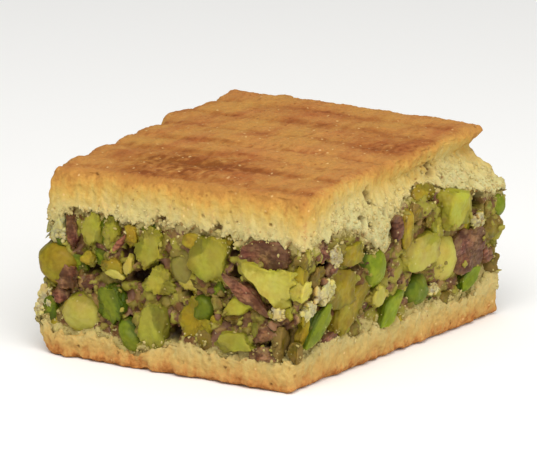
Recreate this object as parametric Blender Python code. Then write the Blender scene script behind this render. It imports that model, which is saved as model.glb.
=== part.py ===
"""A square of pistachio maamoul, cut by hand from a tray.

A semolina crust lies under and over a filling of coarse pistachio pieces in a sticky brown paste. The block
rests on its bottom crust. +X runs along the ridges of the top crust, +Y across them, and +Z is up; the origin
is on the floor under the middle of the block. Sizes are written in millimetres and MM makes them metres.
"""

import math
import random
from collections.abc import Callable
from dataclasses import dataclass

import bmesh
import bpy
from mathutils import Matrix, Vector, noise

MM = 0.001
COLLECTION_NAME = "maamoul_square"

# ---------------------------------------------------------------- driving sizes, in millimetres

BLOCK_WIDTH = 46.0
BLOCK_LENGTH = 55.0
BASE_THICKNESS = 4.9
LID_FLOOR_HEIGHT = 23.0
LAYER_GAP = 0.4
CORE_GAP = 0.7

# The cut sides lean and wander, so the block's plan is given at seven heights.


@dataclass(frozen=True)
class Level:
    """The corners of the block's plan at one height."""

    height: float
    front_left: tuple[float, float]
    front_right: tuple[float, float]
    back_right: tuple[float, float]
    back_left: tuple[float, float]


LEVELS = (
    Level(0.0, (-24.2, -28.8), (19.4, -28.6), (24.9, 27.9), (-22.6, 27.6)),
    Level(5.5, (-26.8, -28.4), (19.7, -28.3), (25.5, 27.9), (-23.8, 27.8)),
    Level(9.0, (-26.0, -27.4), (20.0, -27.6), (25.0, 27.4), (-24.2, 27.8)),
    Level(18.0, (-23.8, -26.8), (21.2, -27.0), (26.0, 27.0), (-24.8, 27.8)),
    Level(22.0, (-25.1, -26.9), (21.5, -27.1), (26.6, 27.2), (-25.3, 28.1)),
    Level(27.3, (-24.9, -26.4), (21.5, -26.9), (20.3, 26.9), (-25.6, 28.3)),
    Level(30.0, (-24.7, -26.1), (21.4, -26.8), (22.7, 27.4), (-25.4, 28.4)),
)


@dataclass(frozen=True)
class Swell:
    """A soft rise, or a sag where it is negative, of a layer's surface round one place."""

    x: float
    y: float
    rise: float
    reach: float


LID_FLOOR_SWELLS = (
    Swell(20.0, -27.0, -0.6, 4.0),
    Swell(23.0, -8.2, -3.6, 3.0),
    Swell(24.0, 6.0, 2.3, 5.5),
    Swell(26.0, 27.0, -2.6, 4.5),
    Swell(-24.0, 10.0, -1.2, 7.0),
    Swell(-4.0, 28.0, -1.2, 6.0),
)
BASE_ROOF_SWELLS = (
    Swell(-26.0, -25.0, 2.6, 2.5),
    Swell(-20.5, -28.0, -1.3, 3.0),
    Swell(-8.5, -28.0, -2.2, 3.2),
    Swell(20.0, -18.0, 1.5, 4.0),
    Swell(21.5, -5.0, 1.2, 3.5),
    Swell(23.5, 11.0, 1.1, 4.0),
    Swell(25.0, 27.0, 3.0, 4.0),
    Swell(-23.0, 4.0, 1.2, 6.0),
    Swell(6.0, 27.0, 1.0, 7.0),
)
INTERFACE_WAVE = 0.35
INTERFACE_WAVELENGTH_X = 17.0
INTERFACE_WAVELENGTH_Y = 21.0

# The top crust: soft ridges run along X, parted by grooves that wander and fade.

LID_CORNER_HEIGHTS = (29.3, 30.1, 31.0, 31.2)
LID_CROWN = 0.4
LID_ARRIS = 2.6
GROOVES = (-23.5, -16.0, -9.5, -3.0, 4.5, 13.0, 21.0)
GROOVE_DEPTH = 0.75
GROOVE_WIDTH = 1.5
GROOVE_WANDER = 1.6
GROOVE_WANDER_SIZE = (17.0, 11.0)
GROOVE_WANDER_DRAW = 2.3
GROOVE_FADE_SIZE = (13.0, 6.0)
GROOVE_FADE_DRAW = 8.1
GROOVE_FADE_MEAN = 0.7
GROOVE_FADE_SWING = 0.6
GROOVE_FAINTEST = 0.2
RIDGE_END_REACH = 0.9
LONGEST_RIDGE_MIDDLE = 10.2
LONGEST_RIDGE_REACH = 1.6
LONGEST_RIDGE_WIDTH = 2.6

CORNER_RADIUS = 1.6
BASE_FLOOR_ARRIS = 1.1
INNER_ARRIS = 0.5
ON_SIDE = 0.999
EDGE_RUN = 0.01
CRAG_DEPTH = 0.55
CRAG_SIZE = 3.2

# The filling: a core behind the cut, and pistachio pieces that reach the cut.

CORE_RECESS = 1.7
CORE_LUMP = 0.7
CORE_LUMP_SIZE = 5.0
NUT_PROUD = 0.3
NUT_DOME = 0.3
NUT_DEPTH_SHARE = 0.95
NUT_INSET_SHARE = 0.3
NUT_ROUGHNESS = 0.2
NUT_LUMPS_ACROSS = 4.0
NUT_SLACK = 0.25
DRAW_RANGE = 50.0
NUT_SEGMENTS = 7
NUT_RINGS = 4
SEED = 7


@dataclass(frozen=True)
class Nut:
    """A pistachio piece at a cut side, placed as that side is seen from outside."""

    along: float
    height: float
    width: float
    tall: float
    tilt: float = 0.0
    proud: float = NUT_PROUD


FRONT_NUTS = (
    Nut(1.6, 14.2, 6.0, 6.0, 0.0, 1.6),
    Nut(8.7, 20.2, 3.8, 5.4, 5.0),
    Nut(13.0, 15.0, 5.2, 3.4, 20.0),
    Nut(19.1, 18.7, 4.8, 6.2),
    Nut(20.9, 13.4, 5.2, 5.6),
    Nut(24.4, 16.8, 4.6, 7.2, -10.0),
    Nut(29.2, 18.8, 6.0, 7.4),
    Nut(39.2, 15.4, 10.2, 5.0, -32.0, 0.9),
    Nut(7.1, 7.4, 7.0, 5.6),
    Nut(12.4, 9.2, 5.0, 6.4, -10.0),
    Nut(15.4, 5.6, 4.0, 5.8, -30.0),
    Nut(20.3, 7.9, 5.0, 7.6, -10.0),
    Nut(28.4, 10.2, 5.8, 6.4),
    Nut(35.3, 12.0, 6.0, 3.4, -20.0),
    Nut(33.9, 7.3, 7.0, 4.0, 5.0),
    Nut(39.0, 20.0, 6.6, 4.8),
    Nut(39.6, 8.4, 6.0, 5.6),
    Nut(43.4, 8.6, 3.6, 6.8),
)
RIGHT_NUTS = (
    Nut(1.6, 19.2, 5.0, 5.2),
    Nut(12.9, 18.6, 5.2, 3.2),
    Nut(19.4, 15.2, 4.9, 7.2),
    Nut(11.4, 13.6, 4.7, 6.8, -15.0),
    Nut(15.0, 10.2, 6.4, 6.0, 35.0),
    Nut(20.9, 10.6, 4.2, 4.6),
    Nut(5.4, 10.2, 4.0, 7.6, 30.0, 0.8),
    Nut(25.4, 8.2, 4.2, 5.8, 20.0),
    Nut(31.9, 9.2, 4.8, 5.6),
    Nut(31.6, 15.6, 6.4, 6.2),
    Nut(39.4, 12.6, 5.0, 8.6, -8.0),
    Nut(40.9, 20.4, 5.8, 5.4),
    Nut(33.0, 22.0, 5.6, 4.0),
    Nut(46.2, 13.0, 7.2, 7.4),
    Nut(47.4, 7.8, 3.4, 5.8, 40.0),
    Nut(52.0, 17.4, 4.6, 4.8, 0.0, 0.9),
    Nut(6.4, 19.8, 5.4, 3.8),
)

# Elsewhere the pieces follow a rule: three loose rows, each piece a little off its place.

FILL_ROWS = (8.6, 14.2, 19.6)
FILL_PITCH = 6.4
FILL_END_ROOM = 3.2
FILL_JITTER = 1.1
FILL_WIDTH = (4.6, 6.8)
FILL_TALL = (4.4, 6.4)
FILL_TILT = 40.0
FILL_CLEARANCE = 0.72

CRUST_BROWN = (0.52, 0.27, 0.085, 1.0)
CRUST_PALE = (0.58, 0.42, 0.17, 1.0)
FILLING_GREEN = (0.27, 0.24, 0.055, 1.0)
MATT = 0.75


# ---------------------------------------------------------------- the block's own surfaces


def level_corners(height):
    """Return the plan's four corners at a height, from the front left and anticlockwise."""
    height = min(max(height, LEVELS[0].height), LEVELS[-1].height)
    for low, high in zip(LEVELS, LEVELS[1:]):
        if height <= high.height:
            share = (height - low.height) / (high.height - low.height)
            break
    names = ("front_left", "front_right", "back_right", "back_left")
    return [Vector(getattr(low, name)).lerp(Vector(getattr(high, name)), share) for name in names]


def plan_point(across, back, height):
    """Return the X and Y of a place given as shares of the plan: 0 to 1 across, and 0 to 1 back."""
    front_left, front_right, back_right, back_left = level_corners(height)
    return front_left.lerp(front_right, across).lerp(back_left.lerp(back_right, across), back)


def interface(x, y, mean, swells):
    """Return the height of an uneven surface between two layers."""
    wave = math.cos(math.tau * x / INTERFACE_WAVELENGTH_X) + math.sin(math.tau * y / INTERFACE_WAVELENGTH_Y)
    height = mean + INTERFACE_WAVE * wave
    for swell in swells:
        distance = math.hypot(x - swell.x, y - swell.y)
        height += swell.rise * math.exp(-0.5 * (distance / swell.reach) ** 2)
    return height


def lid_floor(x, y):
    """Return the height of the top crust's underside."""
    return interface(x, y, LID_FLOOR_HEIGHT, LID_FLOOR_SWELLS)


def base_roof(x, y):
    """Return the height of the bottom crust's upper side."""
    return interface(x, y, BASE_THICKNESS, BASE_ROOF_SWELLS)


def floor_height(x, y):
    """Return the height of the flat underside that the block rests on."""
    return 0.0


def groove(x, y):
    """Return how deep a place of the top lies in a groove: 0 on a ridge, up to 1 in a groove."""
    wander_place = Vector((x / GROOVE_WANDER_SIZE[0], y / GROOVE_WANDER_SIZE[1], GROOVE_WANDER_DRAW))
    fade_place = Vector((x / GROOVE_FADE_SIZE[0], y / GROOVE_FADE_SIZE[1], GROOVE_FADE_DRAW))
    wander = GROOVE_WANDER * noise.noise(wander_place)
    fade = GROOVE_FADE_MEAN + GROOVE_FADE_SWING * noise.noise(fade_place)
    nearest = min(abs(y + wander - middle) for middle in GROOVES)
    return min(max(fade, GROOVE_FAINTEST), 1.0) * math.exp(-((nearest / GROOVE_WIDTH) ** 2))


def lid_roof(x, y):
    """Return the height of the ridged top."""
    across = 0.5 + x / BLOCK_WIDTH
    back = 0.5 + y / BLOCK_LENGTH
    front_left, front_right, back_right, back_left = LID_CORNER_HEIGHTS
    front = front_left + (front_right - front_left) * across
    rear = back_left + (back_right - back_left) * across
    crown = LID_CROWN * (1.0 - (2.0 * x / BLOCK_WIDTH) ** 2) * (1.0 - (2.0 * y / BLOCK_LENGTH) ** 2)
    return front + (rear - front) * back + crown - GROOVE_DEPTH * groove(x, y)


def ridge_end(x, y):
    """Return how far the left end of the ridges stands out at a place."""
    longest = math.exp(-(((y - LONGEST_RIDGE_MIDDLE) / LONGEST_RIDGE_WIDTH) ** 2))
    return RIDGE_END_REACH * (0.5 - groove(x, y)) + LONGEST_RIDGE_REACH * longest


# ---------------------------------------------------------------- shaping a layer


@dataclass(frozen=True)
class Layer:
    """A layer of the block: its two surfaces, its edge radii and how its mesh is divided."""

    name: str
    lower: Callable[[float, float], float]
    upper: Callable[[float, float], float]
    cells: tuple[int, int, int]
    crowding: float
    lower_arris: float
    upper_arris: float
    recess: float
    crag_depth: float
    crag_size: float
    ridged: bool
    colour: tuple[float, float, float, float]


def divided_cube(cells):
    """Return a closed cube from -1 to 1 whose faces are divided into the given cells along X, Y and Z."""
    mesh = bmesh.new()
    bmesh.ops.create_cube(mesh, size=2.0)
    for axis, count in enumerate(cells):
        runs = {edge: abs(edge.verts[0].co[axis] - edge.verts[1].co[axis]) for edge in mesh.edges}
        along = [edge for edge, run in runs.items() if run > EDGE_RUN]
        bmesh.ops.subdivide_edges(mesh, edges=along, cuts=count - 1, use_grid_fill=True)
    return mesh


def crowd(value, crowding):
    """Move a coordinate from -1 to 1 so that the cells are finer towards both ends."""
    return math.sin(value * crowding) / math.sin(crowding)


def rounded(point, half, radius):
    """Round the edges of a box: return where a point of its surface goes."""
    inner = [max(-(size - r), min(size - r, value)) for value, size, r in zip(point, half, radius)]
    offset = Vector([(value - core) / r for value, core, r in zip(point, inner, radius)])
    longest = max(abs(value) for value in offset)
    if longest > 0.0:
        offset *= longest / offset.length
    return [core + value * r for core, value, r in zip(inner, offset, radius)]


def layer_height(place, rise, layer):
    """Return the height at a share of the way up through a layer."""
    return layer.lower(*place) * (1.0 - rise) + layer.upper(*place) * rise


def layer_point(cube_point, layer):
    """Return the place in the block of one point of the divided cube."""
    thickness = layer.upper(0.0, 0.0) - layer.lower(0.0, 0.0)
    half = (BLOCK_WIDTH / 2.0, BLOCK_LENGTH / 2.0, thickness / 2.0)
    shares = (crowd(cube_point.x, layer.crowding), crowd(cube_point.y, layer.crowding), cube_point.z)
    arris = layer.upper_arris if cube_point.z > 0.0 else layer.lower_arris
    radius = (CORNER_RADIUS, CORNER_RADIUS, arris)
    flat = rounded([share * size for share, size in zip(shares, half)], half, radius)
    across, back, rise = [0.5 + 0.5 * value / size for value, size in zip(flat, half)]

    guess = plan_point(across, back, layer.lower(0.0, 0.0) + rise * thickness)
    place = plan_point(across, back, layer_height(guess, rise, layer))
    outward = Vector([math.copysign(1.0, value) if abs(value) > ON_SIDE else 0.0 for value in cube_point.xy])
    if outward.length > 0.0:
        outward.normalize()
        crag = layer.crag_depth * noise.noise(Vector((*place, rise * thickness)) / layer.crag_size)
        place += (crag - layer.recess) * outward
    if layer.ridged and outward.x < 0.0:
        place.x -= ridge_end(place.x, place.y) * rise
    return Vector((*place, layer_height(place, rise, layer)))


def make_object(name, mesh, colour):
    """Return a new object of a bmesh given in millimetres, in the block's collection."""
    bmesh.ops.scale(mesh, vec=(MM, MM, MM), verts=mesh.verts)
    bmesh.ops.recalc_face_normals(mesh, faces=mesh.faces)
    data = bpy.data.meshes.new(name)
    mesh.to_mesh(data)
    mesh.free()
    made = bpy.data.objects.new(name, data)
    made.data.materials.append(make_material(name, colour))
    return made


def make_material(name, colour):
    """Return a matt baked or nutty surface of one colour."""
    material = bpy.data.materials.new(name)
    material.use_nodes = True
    shader = material.node_tree.nodes["Principled BSDF"]
    shader.inputs["Base Color"].default_value = colour
    shader.inputs["Roughness"].default_value = MATT
    shader.inputs["Metallic"].default_value = 0.0
    return material


def make_layer(layer):
    """Return the object of one layer."""
    mesh = divided_cube(layer.cells)
    places = [layer_point(vertex.co, layer) for vertex in mesh.verts]
    for vertex, place in zip(mesh.verts, places):
        vertex.co = place
    return make_object(layer.name, mesh, layer.colour)


# ---------------------------------------------------------------- the filling's pieces


def cut_side(index, height):
    """Return the start, the direction along and the outward direction of a cut side at a height."""
    corners = level_corners(height)
    start = corners[index]
    along = (corners[(index + 1) % 4] - start).normalized()
    return start, along, Vector((along.y, -along.x))


def side_length(index, height):
    """Return the length of a cut side at a height."""
    corners = level_corners(height)
    return (corners[(index + 1) % 4] - corners[index]).length


def keep_in_filling(point, proud, slack):
    """Cut a point off at the block's sides and between its crusts."""
    for index in range(4):
        start, _, outward = cut_side(index, point.z)
        excess = (point.xy - start).dot(outward) - proud
        if excess > 0.0:
            point.xy -= outward * excess * (1.0 - NUT_DOME)
    lowest = base_roof(point.x, point.y) + LAYER_GAP + slack
    highest = lid_floor(point.x, point.y) - LAYER_GAP - slack
    point.z = min(max(point.z, lowest), highest)
    return point


def make_nut(name, side, nut, chance):
    """Return a rough pistachio piece, flattened where the knife met it."""
    depth = NUT_DEPTH_SHARE * min(nut.width, nut.tall)
    start, along, outward = cut_side(side, nut.height)
    inset = NUT_INSET_SHARE * depth - max(nut.proud - NUT_PROUD, 0.0)
    middle = start + along * nut.along - outward * inset
    axes = Matrix(((along.x, outward.x, 0.0), (along.y, outward.y, 0.0), (0.0, 0.0, 1.0)))
    turn = Matrix.Rotation(math.radians(nut.tilt), 3, "Y")
    slack = chance.uniform(0.0, NUT_SLACK)
    drift = Vector((chance.uniform(0.0, DRAW_RANGE), chance.uniform(0.0, DRAW_RANGE), 0.0))
    mesh = bmesh.new()
    bmesh.ops.create_uvsphere(mesh, u_segments=NUT_SEGMENTS, v_segments=NUT_RINGS, radius=0.5)
    for vertex in mesh.verts:
        swell = 1.0 + NUT_ROUGHNESS * noise.noise(vertex.co * NUT_LUMPS_ACROSS + drift)
        shaped = Vector((vertex.co.x * nut.width, vertex.co.y * depth, vertex.co.z * nut.tall)) * swell
        place = Vector((*middle, nut.height)) + axes @ (turn @ shaped)
        vertex.co = keep_in_filling(place, nut.proud, slack)
    return make_object(name, mesh, FILLING_GREEN)


def fill_side(side, placed, chance):
    """Return the pieces that the rule gives a side, clear of the ones already placed there."""
    pieces = list(placed)
    for height in FILL_ROWS:
        room = side_length(side, height) - 2.0 * FILL_END_ROOM
        count = round(room / FILL_PITCH)
        for step in range(count + 1):
            nut = Nut(
                along=FILL_END_ROOM + room * step / count + chance.uniform(-FILL_JITTER, FILL_JITTER),
                height=height + chance.uniform(-FILL_JITTER, FILL_JITTER),
                width=chance.uniform(*FILL_WIDTH),
                tall=chance.uniform(*FILL_TALL),
                tilt=chance.uniform(-FILL_TILT, FILL_TILT),
            )
            if all(stands_clear(nut, other) for other in placed):
                pieces.append(nut)
    return pieces


def stands_clear(nut, other):
    """Tell whether two pieces of one side lie apart."""
    wide = abs(nut.along - other.along) / (0.5 * (nut.width + other.width))
    tall = abs(nut.height - other.height) / (0.5 * (nut.tall + other.tall))
    return math.hypot(wide, tall) > FILL_CLEARANCE


def outer_shell_only(data):
    """Drop every loose scrap and sealed hollow of a mesh: only its largest closed shell stays."""
    mesh = bmesh.new()
    mesh.from_mesh(data)
    unseen = set(mesh.faces)
    shells = []
    while unseen:
        shell = {unseen.pop()}
        edge_of_shell = list(shell)
        while edge_of_shell:
            face = edge_of_shell.pop()
            joined = {other for edge in face.edges for other in edge.link_faces} & unseen
            unseen -= joined
            shell |= joined
            edge_of_shell.extend(joined)
        shells.append(shell)
    largest = max(shells, key=len)
    scraps = [face for face in mesh.faces if face not in largest]
    bmesh.ops.delete(mesh, geom=scraps, context="FACES")
    mesh.to_mesh(data)
    mesh.free()


def make_filling(layer, collection):
    """Return the filling: the core with its pistachio pieces joined on by one union."""
    core = make_layer(layer)
    collection.objects.link(core)
    pieces = bpy.data.collections.new("pistachio_pieces")
    bpy.context.scene.collection.children.link(pieces)
    chance = random.Random(SEED)
    for side, placed in enumerate((FRONT_NUTS, RIGHT_NUTS, (), ())):
        for number, nut in enumerate(fill_side(side, placed, chance)):
            pieces.objects.link(make_nut(f"pistachio_{side}_{number}", side, nut, chance))

    union = core.modifiers.new("join_pieces", "BOOLEAN")
    union.operation = "UNION"
    union.operand_type = "COLLECTION"
    union.collection = pieces
    union.solver = "EXACT"
    bpy.context.view_layer.update()
    evaluated = core.evaluated_get(bpy.context.evaluated_depsgraph_get())
    joined = bpy.data.meshes.new_from_object(evaluated)
    core.modifiers.clear()
    core.data = joined
    for piece in list(pieces.objects):
        bpy.data.objects.remove(piece)
    bpy.data.collections.remove(pieces)
    outer_shell_only(joined)
    joined.materials.clear()
    joined.materials.append(make_material(layer.name, layer.colour))
    return core


# ---------------------------------------------------------------- the block


def build():
    """Build the three layers of the block."""
    for old in list(bpy.data.objects):
        bpy.data.objects.remove(old)
    collection = bpy.data.collections.new(COLLECTION_NAME)
    bpy.context.scene.collection.children.link(collection)

    bottom = Layer(
        name="bottom_crust",
        lower=floor_height,
        upper=base_roof,
        cells=(12, 16, 3),
        crowding=0.9,
        lower_arris=BASE_FLOOR_ARRIS,
        upper_arris=INNER_ARRIS,
        recess=0.0,
        crag_depth=CRAG_DEPTH,
        crag_size=CRAG_SIZE,
        ridged=False,
        colour=CRUST_PALE,
    )
    core = Layer(
        name="filling",
        lower=lambda x, y: base_roof(x, y) + CORE_GAP,
        upper=lambda x, y: lid_floor(x, y) - CORE_GAP,
        cells=(8, 14, 4),
        crowding=0.7,
        lower_arris=INNER_ARRIS,
        upper_arris=INNER_ARRIS,
        recess=CORE_RECESS,
        crag_depth=CORE_LUMP,
        crag_size=CORE_LUMP_SIZE,
        ridged=False,
        colour=FILLING_GREEN,
    )
    top = Layer(
        name="top_crust",
        lower=lid_floor,
        upper=lid_roof,
        cells=(14, 30, 4),
        crowding=0.9,
        lower_arris=INNER_ARRIS,
        upper_arris=LID_ARRIS,
        recess=0.0,
        crag_depth=CRAG_DEPTH,
        crag_size=CRAG_SIZE,
        ridged=True,
        colour=CRUST_BROWN,
    )
    collection.objects.link(make_layer(bottom))
    make_filling(core, collection)
    collection.objects.link(make_layer(top))


build()
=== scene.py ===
"""The looks of a square of pistachio maamoul, cut by hand from a tray.

A ridged golden crust lies over a filling of coarse pistachio pieces in a sticky brown paste, on a pale crust
with a browned foot. +X runs along the ridges, +Y across them and +Z is up. Sizes are written in millimetres,
and MM makes them metres. Sides are numbered as they follow each other anticlockwise, seen from above.
"""

import logging
import math
import random
from collections.abc import Callable, Sequence
from dataclasses import asdict, dataclass, replace
from enum import Enum, IntEnum
from typing import ClassVar

import bmesh
import bpy
import numpy as np
from mathutils import Matrix, Vector, noise


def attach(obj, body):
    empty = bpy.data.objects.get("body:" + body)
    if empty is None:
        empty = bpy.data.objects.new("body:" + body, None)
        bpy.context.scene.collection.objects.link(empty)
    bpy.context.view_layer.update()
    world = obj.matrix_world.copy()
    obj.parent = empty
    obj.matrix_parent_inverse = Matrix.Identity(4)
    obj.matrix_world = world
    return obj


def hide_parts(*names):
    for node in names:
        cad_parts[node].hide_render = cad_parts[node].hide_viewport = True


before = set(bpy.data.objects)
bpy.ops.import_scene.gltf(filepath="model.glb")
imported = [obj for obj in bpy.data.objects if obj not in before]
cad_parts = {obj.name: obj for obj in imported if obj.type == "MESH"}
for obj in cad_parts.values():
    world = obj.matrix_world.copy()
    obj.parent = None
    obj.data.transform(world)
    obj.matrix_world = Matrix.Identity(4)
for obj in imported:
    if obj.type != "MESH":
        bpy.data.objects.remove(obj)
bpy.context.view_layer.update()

MM = 0.001
LOG = logging.getLogger("maamoul")

Array = np.ndarray
Pair = tuple[float, float]
Triple = tuple[float, float, float]
Faces = list[list[int]]
Body = bpy.types.Object
Material = bpy.types.Material
Node = bpy.types.Node
Cells = tuple[int, int, int]
Colour = tuple[float, float, float, float]
Stops = Sequence[tuple[float, Colour]]
Socket = bpy.types.NodeSocket
Settings = dict[str | int, object]


def srgb(red: int, green: int, blue: int) -> Colour:
    """Turn a screen's colour into the linear one that shaders use.

    Args:
        red: The screen's red, from 0 to 255.
        green: Its green.
        blue: Its blue.

    Returns:
        The linear colour with an alpha of 1.
    """
    parts = [value / 255.0 for value in (red, green, blue)]
    linear = [part / 12.92 if part <= 0.04045 else ((part + 0.055) / 1.055) ** 2.4 for part in parts]
    return (*linear, 1.0)


def noise_at(points: Array, size: float, seed: float = 0.0) -> Array:
    """Return smooth noise from about -1 to 1, whose swells have that size, at each place."""
    return np.array([noise.noise(place) for place in (points / size + seed).tolist()])


def smooth(value: Array, low: float, high: float) -> Array:
    """Return 0 below low, 1 above high and a soft step between them."""
    share = np.clip((value - low) / (high - low), 0.0, 1.0)
    return share * share * (3.0 - 2.0 * share)


def grounded(place: Array) -> Array:
    """Return places of the plan as points at height 0."""
    return np.column_stack([place, np.zeros(len(place))])


def linked(name: str, data: bpy.types.ID) -> Body:
    """Add an object to the scene.

    Args:
        name: Its name.
        data: The mesh, light or camera that it shows.

    Returns:
        The object, at the origin.
    """
    made = bpy.data.objects.new(name, data)
    bpy.context.scene.collection.objects.link(made)
    return made


# ---- the block that every piece shares


class Side(IntEnum):
    """The four cut sides, by number."""

    FRONT = 0
    RIGHT = 1
    BACK = 2
    LEFT = 3


F, R = Side.FRONT, Side.RIGHT


@dataclass(frozen=True)
class Level:
    """The corners of the block's plan at one height: front left, front right, back right, back left."""

    height: float
    corners: tuple[Pair, ...]


@dataclass(frozen=True)
class Swell:
    """A soft rise of a surface round one place, or a sag where it is negative."""

    x: float
    y: float
    rise: float
    reach: float

    def at(self, place: Array, stretch: float = 1.0) -> Array:
        """Return the rise at each place, for a swell drawn out along X by the stretch."""
        distance = np.hypot((place[:, 0] - self.x) / stretch, place[:, 1] - self.y)
        return self.rise * np.exp(-0.5 * (distance / self.reach) ** 2)


@dataclass(frozen=True)
class Dent:
    """A gap or a pit in a cut side, placed as that side is seen from outside."""

    side: Side
    along: float
    height: float
    wide: float
    tall: float
    depth: float

    @property
    def half(self) -> Pair:
        """How far it reaches from its middle, along and up."""
        return self.wide, self.tall


@dataclass(frozen=True)
class Block:
    """The form of the whole block, as its solids have it."""

    width: float = 46.0
    length: float = 55.0
    base_thickness: float = 4.9
    lid_floor_height: float = 23.0
    levels: tuple[Level, ...] = (
        Level(0.0, ((-24.2, -28.8), (19.4, -28.6), (24.9, 27.9), (-22.6, 27.6))),
        Level(5.5, ((-26.8, -28.4), (19.7, -28.3), (25.5, 27.9), (-23.8, 27.8))),
        Level(9.0, ((-26.0, -27.4), (20.0, -27.6), (25.0, 27.4), (-24.2, 27.8))),
        Level(18.0, ((-23.8, -26.8), (21.2, -27.0), (26.0, 27.0), (-24.8, 27.8))),
        Level(22.0, ((-25.1, -26.9), (21.5, -27.1), (26.6, 27.2), (-25.3, 28.1))),
        Level(27.3, ((-24.9, -26.4), (21.5, -26.9), (20.3, 26.9), (-25.6, 28.3))),
        Level(30.0, ((-24.7, -26.1), (21.4, -26.8), (22.7, 27.4), (-25.4, 28.4))),
    )
    lid_floor_swells: tuple[Swell, ...] = (
        Swell(20.0, -27.0, -0.6, 4.0),
        Swell(23.0, -8.2, -3.6, 3.0),
        Swell(24.0, 6.0, 2.3, 5.5),
        Swell(26.0, 27.0, -2.6, 4.5),
        Swell(-24.0, 10.0, -1.2, 7.0),
        Swell(-4.0, 28.0, -1.2, 6.0),
        Swell(-25.2, -27.2, -4.6, 1.9),
        Swell(23.0, -4.8, -3.2, 1.5),
    )
    base_roof_swells: tuple[Swell, ...] = (
        Swell(-26.0, -25.0, 2.6, 2.5),
        Swell(-20.5, -28.0, -1.3, 3.0),
        Swell(-8.5, -28.0, -2.2, 3.2),
        Swell(20.0, -18.0, 1.5, 4.0),
        Swell(21.5, -5.0, 1.2, 3.5),
        Swell(23.5, 11.0, 1.1, 4.0),
        Swell(25.0, 27.0, 3.0, 4.0),
        Swell(-23.0, 4.0, 1.2, 6.0),
        Swell(6.0, 27.0, 1.0, 7.0),
    )
    wave: float = 0.35
    wavelength_x: float = 17.0
    wavelength_y: float = 21.0
    lid_corner_heights: tuple[float, ...] = (29.3, 30.1, 31.0, 31.2)
    lid_crown: float = 0.4
    grooves: tuple[float, ...] = (-23.5, -16.0, -9.5, -3.0, 4.5, 13.0, 21.0)
    groove_depth: float = 0.75
    groove_width: float = 1.5
    groove_wander: float = 1.6
    wander_waves: Pair = (17.0, 11.0)
    wander_draw: Triple = (0.0, 0.0, 2.3)
    fade_waves: Pair = (13.0, 6.0)
    fade_draw: Triple = (0.0, 0.0, 8.1)
    ridge_end_reach: float = 1.2
    longest_ridge_middle: float = 10.2
    longest_ridge_reach: float = 1.7
    longest_ridge_width: float = 2.8

    def corner(self, index: int, height: Array) -> Array:
        """Return a corner's X and Y at each height. Its number may count on past 3."""
        heights, *parts = zip(*((level.height, *level.corners[index % 4]) for level in self.levels))
        return np.stack([np.interp(height, heights, part) for part in parts], axis=-1)

    def plan(self, across: Array, back: Array, height: Array) -> Array:
        """Find places given as shares of the plan.

        Args:
            across: The share of its width.
            back: The share of its length.
            height: The heights.

        Returns:
            The X and Y of each place.
        """
        across, back = across[:, None], back[:, None]
        front = self.corner(0, height) * (1.0 - across) + self.corner(1, height) * across
        rear = self.corner(3, height) * (1.0 - across) + self.corner(2, height) * across
        return front * (1.0 - back) + rear * back

    def side_frame(self, side: int, height: Array) -> tuple[Array, Array, Array]:
        """Find the line of a cut side.

        Args:
            side: The side's number.
            height: The heights.

        Returns:
            Its start, direction and outward direction at each height.
        """
        start = self.corner(side, height)
        along = self.corner(side + 1, height) - start
        along = along / np.linalg.norm(along, axis=-1, keepdims=True)
        return start, along, np.stack([along[..., 1], -along[..., 0]], axis=-1)

    def side_length(self, side: int, height: float) -> float:
        """Return the length of a cut side at a height."""
        return float(np.linalg.norm(self.corner(side + 1, height) - self.corner(side, height)))

    def seen_from(self, side: int, points: Array) -> tuple[Array, Array, Array]:
        """Place points by a cut side.

        Args:
            side: The side's number.
            points: The points, one a row.

        Returns:
            How far along and how far behind it each point lies, and its outward direction there.
        """
        start, along, outward = self.side_frame(side, points[:, 2])
        offset = points[:, :2] - start
        run = np.einsum("ij,ij->i", offset, along)
        return run, -np.einsum("ij,ij->i", offset, outward), outward

    def behind(self, side: int, points: Array) -> Array:
        """Return how far behind a cut side each point lies."""
        return self.seen_from(side, points)[1]

    def sunk(self, points: Array) -> Array:
        """Return how far behind the nearest cut side each point lies."""
        return np.min([self.behind(side, points) for side in Side], axis=0)

    def inward(self, box: Array) -> Array:
        """Return how far inside its nearest side each point of a layer's plain box lies."""
        return np.minimum(self.width / 2.0 - np.abs(box[:, 0]), self.length / 2.0 - np.abs(box[:, 1]))

    def interface(self, place: Array, mean: float, swells: Sequence[Swell]) -> Array:
        """Return an uneven surface between two layers.

        Args:
            place: X and Y, one a row.
            mean: Its mean height.
            swells: Its rises and sags, besides its long waves.

        Returns:
            Its height at each place.
        """
        x, y = place[:, 0], place[:, 1]
        wave = np.cos(math.tau * x / self.wavelength_x) + np.sin(math.tau * y / self.wavelength_y)
        height = mean + self.wave * wave
        for swell in swells:
            height = height + swell.at(place)
        return height

    def lid_floor(self, place: Array) -> Array:
        """Return the height of the top crust's underside at each place."""
        return self.interface(place, self.lid_floor_height, self.lid_floor_swells)

    def base_roof(self, place: Array) -> Array:
        """Return the height of the bottom crust's upper side at each place."""
        return self.interface(place, self.base_thickness, self.base_roof_swells)

    def hem(self, points: Array, reach: float) -> Array:
        """Return how near each point lies to a crust: 1 at or in it, falling off over the reach."""
        return np.exp(-((self.inside_filling(points).clip(0.0) / reach) ** 2))

    def inside_filling(self, points: Array) -> Array:
        """Return how far each point lies from the nearer crust; it is negative in a crust."""
        level = points[:, :2]
        return np.minimum(self.lid_floor(level) - points[:, 2], points[:, 2] - self.base_roof(level))

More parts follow.
